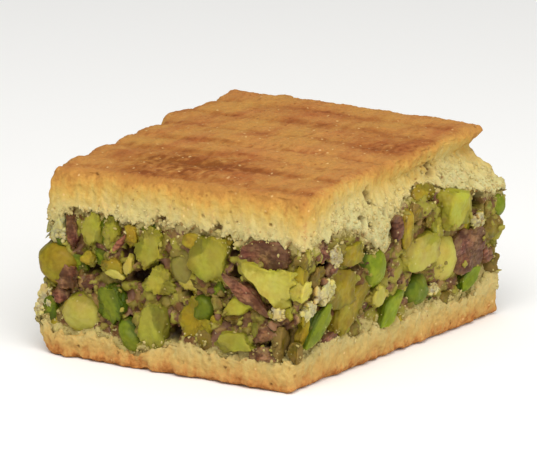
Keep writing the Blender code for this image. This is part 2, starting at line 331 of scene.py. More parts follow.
    def groove(self, place: Array) -> Array:
        """Return the grooves of the top.

        Args:
            place: X and Y, one a row.

        Returns:
            How deep in a groove each place lies: 0 on a ridge, up to 1.
        """
        wander = self.groove_wander * noise_at(grounded(place / self.wander_waves) + self.wander_draw, 1.0)
        fade = 0.7 + 0.6 * noise_at(grounded(place / self.fade_waves) + self.fade_draw, 1.0)
        nearest = np.min([np.abs(place[:, 1] + wander - middle) for middle in self.grooves], axis=0)
        return np.clip(fade, 0.2, 1.0) * np.exp(-((nearest / self.groove_width) ** 2))

    def lid_roof(self, place: Array) -> Array:
        """Return the ridged top.

        Args:
            place: X and Y, one a row.

        Returns:
            Its height at each place.
        """
        x, y = place[:, 0], place[:, 1]
        across = 0.5 + x / self.width
        back = 0.5 + y / self.length
        front_left, front_right, back_right, back_left = self.lid_corner_heights
        front = front_left + (front_right - front_left) * across
        rear = back_left + (back_right - back_left) * across
        crown = self.lid_crown * (1.0 - (2.0 * x / self.width) ** 2) * (1.0 - (2.0 * y / self.length) ** 2)
        return front + (rear - front) * back + crown - self.groove_depth * self.groove(place)

    def ridge_end(self, place: Array) -> Array:
        """Return how far the left end of the ridges stands out at each place."""
        longest = np.exp(-(((place[:, 1] - self.longest_ridge_middle) / self.longest_ridge_width) ** 4))
        return self.ridge_end_reach * (0.5 - self.groove(place)) + self.longest_ridge_reach * longest


BLOCK = Block()


# ---- meshes


def put_values(body: Body, name: str, values: Array) -> None:
    """Store a number at each point of a body's mesh, under a name."""
    layer = body.data.attributes.get(name) or body.data.attributes.new(name, "FLOAT", "POINT")
    layer.data.foreach_set("value", values.astype(np.float32))


def values_of(body: Body, name: str) -> Array:
    """Read the numbers that a mesh carries at its points.

    Args:
        body: The mesh's object.
        name: The numbers' name.

    Returns:
        One number for each point.
    """
    values = np.zeros(len(body.data.vertices), np.float32)
    body.data.attributes[name].data.foreach_get("value", values)
    return values


def points_of(body: Body) -> Array:
    """Read the places of a mesh's points.

    Args:
        body: The mesh's object.

    Returns:
        The places in millimetres, one a row.
    """
    flat = np.zeros(len(body.data.vertices) * 3)
    body.data.vertices.foreach_get("co", flat)
    return flat.reshape(-1, 3) / MM


def lattice_cube(cells: Cells, rims: tuple[int, int]) -> tuple[Array, Faces]:
    """Return the points, from -1 to 1, and the faces of a closed cube whose sides are divided into cells.

    Args:
        cells: How many cells there are along X, Y and Z.
        rims: How many rows of cells the bottom and the top keep round a plain middle, where 0 keeps them all.

    Returns:
        The points, one a row, and the numbers of each face's points.
    """
    quads, fans = [], []
    for axis in range(3):
        u, v = (axis + 1) % 3, (axis + 2) % 3
        step_u, step_v = np.meshgrid(np.arange(cells[u]), np.arange(cells[v]), indexing="ij")
        step_u, step_v = step_u.ravel(), step_v.ravel()
        for end, rim in ((0, rims[0]), (cells[axis], rims[1])):
            quad = np.zeros((step_u.size, 4, 3), int)
            for index, (add_u, add_v) in enumerate(((0, 0), (1, 0), (1, 1), (0, 1))):
                quad[:, index, axis] = end
                quad[:, index, u] = step_u + add_u
                quad[:, index, v] = step_v + add_v
            if axis == 2 and rim:
                row = np.min([step_u, cells[0] - 1 - step_u, step_v, cells[1] - 1 - step_v], axis=0)
                quad = quad[row < rim]
                fan = ring_fan(cells[0], cells[1], rim, end)
                fans.append(fan if end else fan[:, ::-1])
            quads.append(quad if end else quad[:, ::-1])
    quads = np.concatenate(quads)
    corners = np.concatenate([quads.reshape(-1, 3), *(fan.reshape(-1, 3) for fan in fans)])
    points, numbers = np.unique(corners, axis=0, return_inverse=True)
    numbers = numbers.ravel()
    cut = quads.shape[0] * 4
    faces = numbers[:cut].reshape(-1, 4).tolist() + numbers[cut:].reshape(-1, 3).tolist()
    return points / np.array(cells) * 2.0 - 1.0, faces


def ring_fan(wide: int, long: int, rim: int, height: int) -> Array:
    """Close a rectangle inside its rim with triangles from its middle.

    Args:
        wide: How many cells the rectangle has along X.
        long: How many it has along Y.
        rim: How many rows of cells are kept round the triangles.
        height: Its height, in cells.

    Returns:
        The three corners of each triangle, in cells.
    """
    across, back = np.arange(rim, wide - rim), np.arange(rim, long - rim)
    ring = np.array(
        [(x, rim, height) for x in across]
        + [(wide - rim, y, height) for y in back]
        + [(x, long - rim, height) for x in across[::-1] + 1]
        + [(rim, y, height) for y in back[::-1] + 1]
    )
    middle = np.broadcast_to((wide // 2, long // 2, height), ring.shape)
    return np.stack([ring, np.roll(ring, -1, axis=0), middle], axis=1)


def ball(subdivisions: int, crowding: float) -> tuple[Array, Faces]:
    """Return the points and faces of a ball of triangles.

    Args:
        subdivisions: How finely it is divided.
        crowding: How much more closely the points lie towards +Y, from 0 to under 1.

    Returns:
        The points, at distance 1 from the middle, and the numbers of each face's points.
    """
    mesh = bmesh.new()
    bmesh.ops.create_icosphere(mesh, subdivisions=subdivisions, radius=1.0)
    points = np.array([vertex.co for vertex in mesh.verts]) + (0.0, crowding, 0.0)
    points = points / np.linalg.norm(points, axis=1, keepdims=True)
    faces = [[vertex.index for vertex in face.verts] for face in mesh.faces]
    mesh.free()
    return points, faces


class Batch:
    """Points, faces and values at points, in millimetres, gathered until they become one piece."""

    def __init__(self, name: str) -> None:
        """Start an empty batch.

        Args:
            name: The name of the piece that it becomes.
        """
        self.name = name
        self.points: list[Array] = []
        self.faces: Faces = []
        self.values: dict[str, list[Array]] = {}
        self.count = 0

    def add(self, points: Array, faces: Sequence[Sequence[int]], **values: Array) -> None:
        """Add a body.

        Args:
            points: Its places, one a row.
            faces: The numbers of each face's points.
            values: Named numbers, one for each point, that its finish reads.
        """
        self.points.append(points)
        self.faces.extend([[number + self.count for number in face] for face in faces])
        for name, value in values.items():
            self.values.setdefault(name, []).append(value)
        self.count += len(points)

    def make(self) -> Body:
        """Make the batch one smooth object of the scene.

        Returns:
            The object, at the origin.
        """
        mesh = bpy.data.meshes.new(self.name)
        mesh.from_pydata((np.concatenate(self.points) * MM).tolist(), [], self.faces)
        mesh.shade_smooth()
        made = linked(self.name, mesh)
        for name, parts in self.values.items():
            put_values(made, name, np.concatenate(parts))
        return made


@dataclass(frozen=True)
class Layer:
    """A layer of the block: its edge radii, how far its cut sides lie back, and how its mesh is divided."""

    cells: Cells
    crowding: float
    lower_arris: float
    upper_arris: float
    recess: float = 0.0
    crag_depth: float = 0.55
    crag_size: float = 3.2
    ridged: bool = False
    corner_radius: float = 1.6
    rims: tuple[int, int] = (0, 0)
    ridge_rim: float = 5.0
    ridge_set_back: float = 0.8
    torn_depth: float = 1.0
    torn_size: float = 1.4

    def lower(self, place: Array) -> Array:
        """Return the height of the layer's lower surface at each place."""
        raise NotImplementedError

    def upper(self, place: Array) -> Array:
        """Return the height of the layer's upper surface at each place."""
        raise NotImplementedError

    def shape(self) -> tuple[Array, Faces, Array]:
        """Bend a box into the layer.

        Returns:
            Its points, its faces, and where each point lies on the plain box that it was bent from.
        """
        cube, faces = lattice_cube(self.cells, self.rims)
        middle = np.zeros((1, 2))
        low = self.lower(middle)[0]
        thickness = self.upper(middle)[0] - low
        half = np.array([BLOCK.width, BLOCK.length, thickness]) / 2.0
        shares = cube.copy()
        shares[:, :2] = np.sin(cube[:, :2] * self.crowding) / math.sin(self.crowding)
        radius = np.full_like(cube, self.corner_radius)
        radius[:, 2] = np.where(cube[:, 2] > 0.0, self.upper_arris, self.lower_arris)
        flat = self.rounded(shares * half, half, radius)
        across, back, rise = (0.5 + 0.5 * flat / half).T

        guess = BLOCK.plan(across, back, low + rise * thickness)
        place = BLOCK.plan(across, back, self.height(guess, rise))
        outward = np.where(np.abs(cube[:, :2]) > 0.999, np.sign(cube[:, :2]), 0.0)
        reach = np.linalg.norm(outward, axis=1, keepdims=True)
        outward = outward / np.maximum(reach, 1.0)
        crag_places = np.column_stack([place, rise * thickness])
        crag = self.crag_depth * noise_at(crag_places, self.crag_size) - self.recess
        crag = crag + self.crag_depth * 0.4 * noise_at(crag_places, self.crag_size * 0.3, 6.0)
        place = place + outward * crag[:, None]
        if self.ridged:
            rim = 1.0 - smooth(half[0] + flat[:, 0], 0.0, self.ridge_rim)
            place[:, 0] -= rim * rise * (BLOCK.ridge_end(place) - self.ridge_set_back)
        return np.column_stack([place, self.height(place, rise)]), faces, flat

    def torn(self, place: Array, seed: float) -> Array:
        """Return the ragged hem where a crust meets the filling.

        Args:
            place: X and Y, one a row.
            seed: Another number gives another hem.

        Returns:
            How far it hangs or stands out at each place.
        """
        level = grounded(place)
        ragged = noise_at(level, self.torn_size, seed) + 0.6 * noise_at(level, self.torn_size * 0.4, 5.0)
        return self.torn_depth * ragged

    def height(self, place: Array, rise: Array) -> Array:
        """Return the height at a share of the way up through the layer at each place."""
        return self.lower(place) * (1.0 - rise) + self.upper(place) * rise

    @staticmethod
    def rounded(points: Array, half: Array, radius: Array) -> Array:
        """Round the edges of a box.

        Args:
            points: The surface's points, one a row.
            half: Half the box's sizes.
            radius: The edge radius at each point, for each axis.

        Returns:
            The moved points.
        """
        inner = np.clip(points, radius - half, half - radius)
        offset = (points - inner) / radius
        longest = np.max(np.abs(offset), axis=1)
        length = np.linalg.norm(offset, axis=1)
        stretch = np.divide(longest, length, out=np.ones_like(length), where=length > 0.0)
        return inner + offset * stretch[:, None] * radius


def dented(points: Array, dents: Sequence[Dent], nearness: float, tearing: float) -> tuple[Array, Array]:
    """Push a cut side in at its gaps.

    Args:
        points: The surface's places, one a row.
        dents: The gaps and pits.
        nearness: How far behind the cut side a point may lie and still move.
        tearing: How finely torn the edges of the gaps are.

    Returns:
        The moved places, and how far into a gap each one lies, from 0 to 1.
    """
    moved = points.copy()
    hollow = np.zeros(len(points))
    ragged = 1.0 + 0.9 * noise_at(points, 1.3, 5.0) + tearing * noise_at(points, 0.6, 9.0)
    for dent in dents:
        run, behind, outward = BLOCK.seen_from(dent.side, points)
        spread = ((run - dent.along) / dent.wide) ** 2 + ((points[:, 2] - dent.height) / dent.tall) ** 2
        spread = spread * ragged
        share = np.exp(-(spread**2)) * smooth(-behind, -nearness - 1.0, -nearness)
        moved[:, :2] -= outward * (share * dent.depth)[:, None]
        hollow = np.maximum(hollow, share * (dent.depth > 0.0))
    return moved, hollow


# ---- node trees written as expressions


def math_method(operation: str, reflected: bool = False) -> Callable[..., "Value"]:
    """Write the method of one of Python's operators.

    Args:
        operation: The operation of the Math node that it adds.
        reflected: Whether the other number stands before the sign.

    Returns:
        The method.
    """

    def method(own: "Value", other: "Value | float") -> "Value":
        """Return the result of a Math node."""
        inputs = {0: other, 1: own} if reflected else {0: own, 1: other}
        return Value(own.graph, own.graph.node("ShaderNodeMath", {"operation": operation}, inputs).outputs[0])

    return method


class Value:
    """A number that changes over a surface. Python's operators on it add Math nodes."""

    __add__, __radd__ = math_method("ADD"), math_method("ADD", reflected=True)
    __sub__, __rsub__ = math_method("SUBTRACT"), math_method("SUBTRACT", reflected=True)
    __mul__, __rmul__ = math_method("MULTIPLY"), math_method("MULTIPLY", reflected=True)
    __truediv__, __rtruediv__ = math_method("DIVIDE"), math_method("DIVIDE", reflected=True)
    maximum = math_method("MAXIMUM")

    def __init__(self, graph: "Graph", socket: Socket) -> None:
        """Wrap the output socket of a node."""
        self.graph = graph
        self.socket = socket

    def step(self, low: "Value | float", high: "Value | float") -> "Value":
        """Return 0 below low, 1 above high and a soft step between them."""
        made = self.graph.node(
            "ShaderNodeMapRange",
            {"interpolation_type": "SMOOTHSTEP"},
            {"Value": self, "From Min": low, "From Max": high},
        )
        return Value(self.graph, made.outputs["Result"])


class Graph:
    """A shader's or a shape's node tree, with the few kinds of node that this object needs."""

    def __init__(self, tree: bpy.types.NodeTree, place: Socket | None = None) -> None:
        """Work on a tree, whose patterns read the given coordinates."""
        self.tree = tree
        self.place = place

    def node(self, kind: str, settings: Settings | None = None, inputs: Settings | None = None) -> Node:
        """Add any node.

        Args:
            kind: The node's type.
            settings: Its own settings, set before its sockets; "stops" fills a colour ramp.
            inputs: Values or links of its input sockets, by name or number.

        Returns:
            The new node.
        """
        made = self.tree.nodes.new(kind)
        for name, value in (settings or {}).items():
            if name == "stops":
                self._fill_ramp(made, value)
            else:
                setattr(made, name, value)
        for name, value in (inputs or {}).items():
            source = value.socket if isinstance(value, Value) else value
            if isinstance(source, Socket):
                self.tree.links.new(source, made.inputs[name])
            else:
                made.inputs[name].default_value = source
        return made

    @staticmethod
    def _fill_ramp(made: Node, stops: Stops) -> None:
        """Give a colour ramp its stops.

        Args:
            made: The ramp's node.
            stops: Its positions and colours, in rising order.
        """
        ramp = made.color_ramp
        for position, _ in stops[2:]:
            ramp.elements.new(position)
        for element, (position, colour) in zip(ramp.elements, stops):
            element.position = position
            element.color = colour

    def noise(self, size: "Value | float", detail: float = 2.0, place: Socket | None = None) -> Value:
        """Return soft noise from 0 to 1 whose swells have that size in metres."""
        made = self.node(
            "ShaderNodeTexNoise",
            {"noise_dimensions": "3D"},
            {"Vector": place or self.place, "Scale": 1.0 / size, "Detail": detail},
        )
        return Value(self, made.outputs[0])

    def cells(self, size: "Value | float", place: Socket | None = None) -> tuple[Value, Value]:
        """Add cells round scattered points.

        Args:
            size: The points' distance from each other, in metres.
            place: Coordinates, if not the graph's own.

        Returns:
            The distance to the nearest one in sizes, and that one's own random number.
        """
        made = self.node(
            "ShaderNodeTexVoronoi",
            {"voronoi_dimensions": "3D", "feature": "F1"},
            {"Vector": place or self.place, "Scale": 1.0 / size},
        )
        parts = self.node("ShaderNodeSeparateXYZ", {}, {0: made.outputs["Color"]})
        return Value(self, made.outputs["Distance"]), Value(self, parts.outputs[0])

    def ramp(self, value: Value, stops: Stops) -> Socket:
        """Return the colour that a ramp gives a value from 0 to 1."""
        return self.node("ShaderNodeValToRGB", {"stops": stops}, {"Fac": value}).outputs["Color"]

    def mix(self, share: Value, first: Socket | Colour, second: Socket | Colour) -> Socket:
        """Return the first colour where share is 0, and the second where it is 1."""
        made = self.node("ShaderNodeMix", {"data_type": "RGBA"}, {0: share, 6: first, 7: second})
        return made.outputs[2]


class Surface(Graph):
    """The node tree of one finish, which ends in a Principled shader."""

    def __init__(self, name: str, **constants: object) -> None:
        """Start a material.

        Args:
            name: Its name.
            constants: What is the same all over it, by the shader's socket name with _ for a space.
        """
        self.material = bpy.data.materials.new(name)
        self.material.use_nodes = True
        super().__init__(self.material.node_tree)
        self.shader = self.material.node_tree.nodes["Principled BSDF"]
        for key, value in constants.items():
            self.shader.inputs[key.replace("_", " ")].default_value = value
        self.place = self.node("ShaderNodeTexCoord").outputs["Object"]

    @classmethod
    def food(cls, name: str, gloss: float, milkiness: float, tint: Triple, reach: float) -> "Surface":
        """Start a food's material: how milky it is, and how many millimetres light of the tint reaches in."""
        inside = {"Subsurface_Weight": milkiness, "Subsurface_Radius": tint, "Subsurface_Scale": reach * MM}
        return cls(name, Metallic=0.0, Specular_IOR_Level=gloss, **inside)

    def value_at(self, name: str) -> Value:
        """Return a number that the mesh carries at its points."""
        made = self.node("ShaderNodeAttribute", {"attribute_name": name})
        return Value(self, made.outputs["Fac"])

    def specks(self, size: float, core: Pair, drawn: Pair) -> Value:
        """Return 1 in the specks whose random number is over the drawn ones, and 0 past their core."""
        distance, lot = self.cells(size)
        return (1.0 - distance.step(*core)) * lot.step(*drawn)

    def drawn_out(self, factors: Triple) -> Socket:
        """Return coordinates in which patterns are longer along an axis whose factor is under 1."""
        made = self.node("ShaderNodeVectorMath", {"operation": "MULTIPLY"}, {0: self.place, 1: factors})
        return made.outputs[0]

    def varied(self, colour: Socket, hue: Value | float, value: Value | float) -> Socket:
        """Return a colour with its hue turned, where 0.5 leaves it, and its brightness multiplied."""
        made = self.node("ShaderNodeHueSaturation", {}, {"Hue": hue, "Value": value, "Color": colour})
        return made.outputs["Color"]

    def finish(self, colour: Socket, roughness: Value, height: Value, relief: float) -> Material:
        """Link the shader.

        Args:
            colour: The base colour.
            roughness: The roughness.
            height: The fine relief, from 0 to 1.
            relief: How high a 1 of it is, in millimetres.

        Returns:
            The finished material.
        """
        bump = self.node("ShaderNodeBump", {}, {"Strength": 1.0, "Distance": relief * MM, "Height": height})
        links = self.material.node_tree.links
        links.new(colour, self.shader.inputs["Base Color"])
        links.new(roughness.socket, self.shader.inputs["Roughness"])
        links.new(bump.outputs["Normal"], self.shader.inputs["Normal"])
        return self.material


# ---- finishes


@dataclass(frozen=True)
class CrustFinish:
    """A baked semolina crust: browned where it met the heat, and pale where it was cut."""

    name: str
    face_light: Colour
    face_brown: Colour
    face_dark: Colour
    side_stops: Stops
    side_depth: float
    bead_share: float = 0.12
    soaked: Colour = srgb(160, 146, 80)
    soaked_share: float = 0.45
    scorch: Colour = srgb(128, 74, 34)
    grain: Colour = srgb(226, 192, 132)
    # Painted shade in the crust's pores and pits.
    pore: Colour = srgb(94, 58, 26)

    def make(self) -> Material:
        """Build the nodes of the finish.

        Returns:
            The material.
        """
        surface = Surface.food(self.name, 0.1, 0.12, (1.0, 0.6, 0.3), 0.9)
        broad = surface.noise(7.0 * MM, 3.0)
        medium = surface.noise(2.2 * MM, 3.0)
        fine = surface.noise(0.55 * MM, 2.0)
        grain = surface.noise(0.28 * MM, 2.0)
        drawn = surface.drawn_out((1.0, 0.5, 1.0))
        streak = surface.noise(1.3 * MM, 2.0, surface.drawn_out((1.0, 1.0, 0.3)))
        cloud = surface.noise(6.0 * MM, 3.0, drawn)
        blot = surface.noise(1.6 * MM, 3.0, drawn)
        # The toast numbers carry real toasting and painted shade along the top's grooves.
        toast = cloud * 0.8 + blot * 0.8 + fine * 0.6 + surface.value_at("toast") * 0.6 - 1.34
        face = surface.mix(toast.step(-0.4, 0.2), self.face_light, self.face_brown)
        face = surface.mix(toast.step(0.05, 0.65), face, self.face_dark)
        light = (fine - 0.5) * 0.25 + (grain - 0.5) * 0.25 + 1.0
        face = surface.varied(face, (cloud - 0.5) * -0.04 + 0.5, light)

        wander = (broad - 0.5) * 3.0 + (medium - 0.5) * 2.4 + (streak - 0.5) * 4.4 + (fine - 0.5) * 1.6
        depth = surface.value_at("depth") + wander
        side = surface.ramp(depth / self.side_depth, self.side_stops)
        soaked = (depth / self.side_depth).step(0.75, 1.05) * surface.noise(2.6 * MM, 3.0).step(0.5, 0.64)
        side = surface.mix(soaked * self.soaked_share, side, self.soaked)
        inward = surface.value_at("inward") + (medium - 0.5) * 1.6 + (fine - 0.5) * 1.2
        side = surface.varied(side, 0.5, (medium - 0.5) * 0.3 + (fine - 0.5) * 0.3 + 1.02)
        colour = surface.mix(inward.step(-0.2, 1.5), side, face)
        # Lighter on the crowns of the crust's grains and darker between them: painted shade of the grain
        # relief.
        bead = surface.value_at("bead")
        colour = surface.varied(colour, 0.5, bead * self.bead_share + 1.0 - self.bead_share * 0.08)

        speck, lot = surface.cells(0.8 * MM)
        brown = toast.step(-0.1, 0.4) * 0.3
        dark_speck = (1.0 - speck.step(0.15, 0.4)) * (lot + brown).step(0.94, 0.98)
        pale_speck = (1.0 - speck.step(0.14, 0.34)) * (1.0 - (lot - brown * 0.5).step(0.04, 0.08))
        colour = surface.mix(dark_speck * 0.6, colour, self.scorch)
        colour = surface.mix(pale_speck * 0.5, colour, self.grain)
        # Pores and pits painted dark: painted shade in the hollows.
        colour = surface.mix(surface.value_at("pore") * 0.85, colour, self.pore)
        height = grain + fine + inward.step(0.5, 2.0) * (fine + blot)
        return surface.finish(colour, 0.78 + medium * 0.2, height, 0.1)


@dataclass(frozen=True)
class KernelFinish:
    """Pistachio flesh with its green rind, partly filmed with paste."""

    name: str
    flesh: Colour
    deep: Colour
    rind: Colour
    rind_deep: Colour
    film: Colour = srgb(124, 100, 50)
    shadow: Colour = srgb(58, 38, 10)
    # Pale specks: sugar grains, partly painted glints.
    sugar: Colour = srgb(206, 196, 140)
    milk: Colour = srgb(170, 160, 88)
    film_share: float = 0.35
    milk_share: float = 0.14
    edge_share: float = 0.45
    wrinkles: float = 0.0

    def make(self) -> Material:
        """Build the nodes of the finish.

        Returns:
            The material.
        """
        surface = Surface.food(self.name, 0.13, 0.5, (1.0, 0.9, 0.25), 1.6)
        broad = surface.noise(2.4 * MM, 2.0)
        fine = surface.noise(0.7 * MM, 3.0)
        mottle = broad * 0.8 + fine * 0.4 - 0.1
        flesh = surface.mix(mottle.step(0.36, 0.66), self.flesh, self.deep)
        rind = surface.mix(mottle.step(0.4, 0.62), self.rind, self.rind_deep)
        edge = surface.value_at("edge")
        skin_share = surface.value_at("rind") + (fine - 0.5) * 0.5
        colour = surface.mix(skin_share.step(0.3, 0.7), flesh, rind)
        # A lighter band inside the rim: pale broken flesh, partly a painted glow of light through the thin
        # edge.
        rim = edge.step(0.05, 0.45) * (1.0 - edge.step(0.55, 0.95)) * mottle.step(0.44, 0.62)
        colour = surface.mix(rim * 0.4, colour, surface.varied(flesh, 0.5, 1.2))
        milk = surface.noise(3.2 * MM, 2.0).step(0.4, 0.65)
        colour = surface.mix(milk * self.milk_share, colour, self.milk)
        crease = surface.noise(0.5 * MM, 3.0, surface.drawn_out((0.35, 0.35, 1.0)))
        colour = surface.mix(crease.step(0.46, 0.6) * self.wrinkles, colour, self.deep)
        # Darker towards the flanks and back: the rind's own deep green, partly painted shade at the rims.
        colour = surface.mix(edge.step(0.35, 0.95) * self.edge_share, colour, self.rind_deep)
        cloud = surface.noise(3.6 * MM, 2.0) - 0.5
        tint = surface.value_at("tint") * 0.1 + 1.0
        colour = surface.varied(colour, 0.5 + cloud * 0.09, tint + (broad - 0.5) * 0.45)
        sunk = surface.value_at("sunk")
        patch = surface.noise(1.7 * MM, 4.0) + edge * 0.3 + (fine - 0.5) * 0.3
        film = patch.step(1.0 - self.film_share, 1.3 - self.film_share)
        colour = surface.mix(film * 0.85, colour, self.film)
        # Pale specks: sugar grains, partly painted glints.
        sugar = surface.specks(0.5 * MM, (0.15, 0.4), (0.965, 0.985))
        colour = surface.mix(sugar * 0.4, colour, self.sugar)
        colour = surface.mix(sunk.step(1.6, 3.4) * 0.85, colour, self.shadow)
        height = fine + broad + crease * (self.wrinkles * 3.0)
        return surface.finish(colour, film * 0.3 + fine * 0.2 + 0.34, height, 0.06)


@dataclass(frozen=True)
class PasteFinish:
    """The sticky paste of sugar, ground pistachio and skins between the pieces."""

    name: str = "sticky_paste"
    brown: Colour = srgb(100, 66, 32)
    tan: Colour = srgb(144, 114, 64)
    olive: Colour = srgb(118, 106, 38)
    lime: Colour = srgb(138, 130, 44)
    mauve: Colour = srgb(114, 80, 60)
    shadow: Colour = srgb(38, 20, 6)
    # Pale specks: sugar grains, partly painted glints.
    sugar: Colour = srgb(206, 188, 140)
    crumb: Colour = srgb(180, 164, 102)

    def make(self) -> Material:
        """Build the nodes of the finish.

        Returns:
            The material.
        """
        surface = Surface.food(self.name, 0.2, 0.1, (1.0, 0.6, 0.3), 0.8)
        fine = surface.noise(0.6 * MM, 3.0)
        broad = surface.noise(2.6 * MM, 3.0)
        chip = surface.value_at("chip") + (fine - 0.5) * 0.12
        colour = surface.mix(broad.step(0.42, 0.58), self.brown, self.tan)
        colour = surface.mix(chip.step(0.52, 0.58) * 0.9, colour, self.olive)
        colour = surface.mix(chip.step(0.74, 0.8) * 0.9, colour, self.lime)
        colour = surface.mix((1.0 - chip.step(0.2, 0.26)) * 0.85, colour, self.mauve)
        colour = surface.mix(fine.step(0.52, 0.72) * 0.4, colour, self.tan)
        # Pale specks: sugar grains, partly painted glints.
        sugar = surface.specks(0.45 * MM, (0.2, 0.42), (0.93, 0.97))
        colour = surface.mix(sugar * 0.6, colour, self.sugar)
        hem = surface.value_at("hem") + (broad - 0.5) * 1.6 + (fine - 0.5) * 1.2
        colour = surface.mix(hem.step(0.35, 0.75) * 0.9, colour, self.crumb)
        deep = surface.value_at("sunk").step(1.5, 3.2).maximum(surface.value_at("hollow"))
        colour = surface.mix(deep * 0.92, colour, self.shadow)
        return surface.finish(colour, fine * 0.35 + 0.32, fine, 0.14)


@dataclass(frozen=True)
class CrumbFinish:
    """Loose grains of one kind, each a little lighter or darker than the next."""

    name: str
    light: Colour
    dark: Colour
    roughness: float = 0.7

    def make(self) -> Material:
        """Build the nodes of the finish.

        Returns:
            The material.
        """
        surface = Surface.food(self.name, 0.3, 0.15, (1.0, 0.7, 0.35), 0.6)
        fine = surface.noise(0.4 * MM, 2.0)
        share = surface.value_at("tint") + (fine - 0.5) * 0.6
        colour = surface.mix(share.step(0.0, 1.0), self.light, self.dark)
        return surface.finish(colour, fine * 0.2 + self.roughness, fine, 0.06)


# ---- relief and scattered grains


class Shaper:
    """A tree of geometry nodes with named inputs, which one modifier turns into a plain mesh."""

    def __init__(self, name: str, inputs: dict[str, str]) -> None:
        """Start a tree.

        Args:
            name: The tree's name.
            inputs: The names of its inputs and the type of each one's socket.
        """
        self.tree = bpy.data.node_groups.new(name, "GeometryNodeTree")
        geometry = "NodeSocketGeometry"
        self.tree.interface.new_socket("Geometry", in_out="INPUT", socket_type=geometry)
        self.tree.interface.new_socket("Geometry", in_out="OUTPUT", socket_type=geometry)
        self.identifiers = {}
        for key, kind in inputs.items():
            made = self.tree.interface.new_socket(key, in_out="INPUT", socket_type=kind)
            self.identifiers[key] = made.identifier
        self.graph = Graph(self.tree)
        self.source = self.graph.node("NodeGroupInput")
        self.graph.place = self.graph.node("GeometryNodeInputPosition").outputs[0]

    def given(self, name: str) -> Value:
        """Return one of the tree's inputs."""
        return Value(self.graph, self.source.outputs[name])

    def attribute(self, name: str) -> Value:
        """Return a number that the mesh carries at its points."""
        made = self.graph.node("GeometryNodeInputNamedAttribute", {"data_type": "FLOAT"}, {"Name": name})
        return Value(self.graph, made.outputs[0])

    def random(self, seed: Value) -> Value:
        """Return a random number from 0 to 1 for each point."""
        made = self.graph.node(
            "FunctionNodeRandomValue", {"data_type": "FLOAT"}, {2: 0.0, 3: 1.0, "Seed": seed}
        )
        return Value(self.graph, made.outputs[1])

    def moved_out(self, geometry: Socket, distance: Value) -> Socket:
        """Move a mesh's points along their normals.

        Args:
            geometry: The mesh.
            distance: How far out each point moves, in metres.

        Returns:
            The moved mesh.
        """
        normal = self.graph.node("GeometryNodeInputNormal").outputs[0]
        settings = {"operation": "SCALE"}
        offset = self.graph.node("ShaderNodeVectorMath", settings, {0: normal, "Scale": distance})
        made = self.graph.node("GeometryNodeSetPosition", {}, {0: geometry, "Offset": offset.outputs[0]})
        return made.outputs[0]

    def stored(self, geometry: Socket, name: str, value: Value, domain: str = "POINT") -> Socket:
        """Return geometry that carries a number under a name."""
        made = self.graph.node(
            "GeometryNodeStoreNamedAttribute",
            {"data_type": "FLOAT", "domain": domain},
            {0: geometry, "Name": name, "Value": value},
        )
        return made.outputs[0]

    def close(self, geometry: Socket) -> None:
        """End the tree with plain geometry in the given material.

        Args:
            geometry: What the tree has made.
        """
        whole = self.graph.node("GeometryNodeRealizeInstances", {}, {0: geometry})
        soft = self.graph.node("GeometryNodeSetShadeSmooth", {}, {0: whole.outputs[0]})
        dressed = self.graph.node(
            "GeometryNodeSetMaterial", {}, {0: soft.outputs[0], "Material": self.given("Material")}
        )
        self.graph.node("NodeGroupOutput", {}, {0: dressed.outputs[0]})

    def apply(self, host: Body, settings: Settings) -> Body:
        """Run the tree on an object and keep the result as its mesh.

        Args:
            host: The object.
            settings: The tree's inputs, by name.

        Returns:
            The same object, without a modifier.
        """
        modifier = host.modifiers.new(self.tree.name, "NODES")
        modifier.node_group = self.tree
        for name, value in settings.items():
            modifier[self.identifiers[name]] = value
        graph = bpy.context.evaluated_depsgraph_get()
        shaped = bpy.data.meshes.new_from_object(
            host.evaluated_get(graph), preserve_all_data_layers=True, depsgraph=graph
        )
        host.modifiers.remove(modifier)
        host.data = shaped
        return host


RELIEF_WORDS = ("Lump", "Grain", "Pore", "Chip")
RELIEF_SIZES = tuple(f"{word} {part}" for word in RELIEF_WORDS for part in ("Size", "Depth"))


@dataclass(frozen=True)
class Relief:
    """How rough a surface is: lumps, grains and pores, each with its size and depth in millimetres."""

    lump_size: float
    lump_depth: float
    grain_size: float
    grain_depth: float
    pore_size: float = 1.4
    pore_depth: float = 0.0
    pore_share: float = 0.0
    chip_size: float = 2.0
    chip_depth: float = 0.0

    def settings(self, material: Material) -> Settings:
        """Return the inputs of the relief tree for this surface."""
        sizes = {name: getattr(self, name.lower().replace(" ", "_")) * MM for name in RELIEF_SIZES}
        return {**sizes, "Pore Share": self.pore_share, "Material": material}


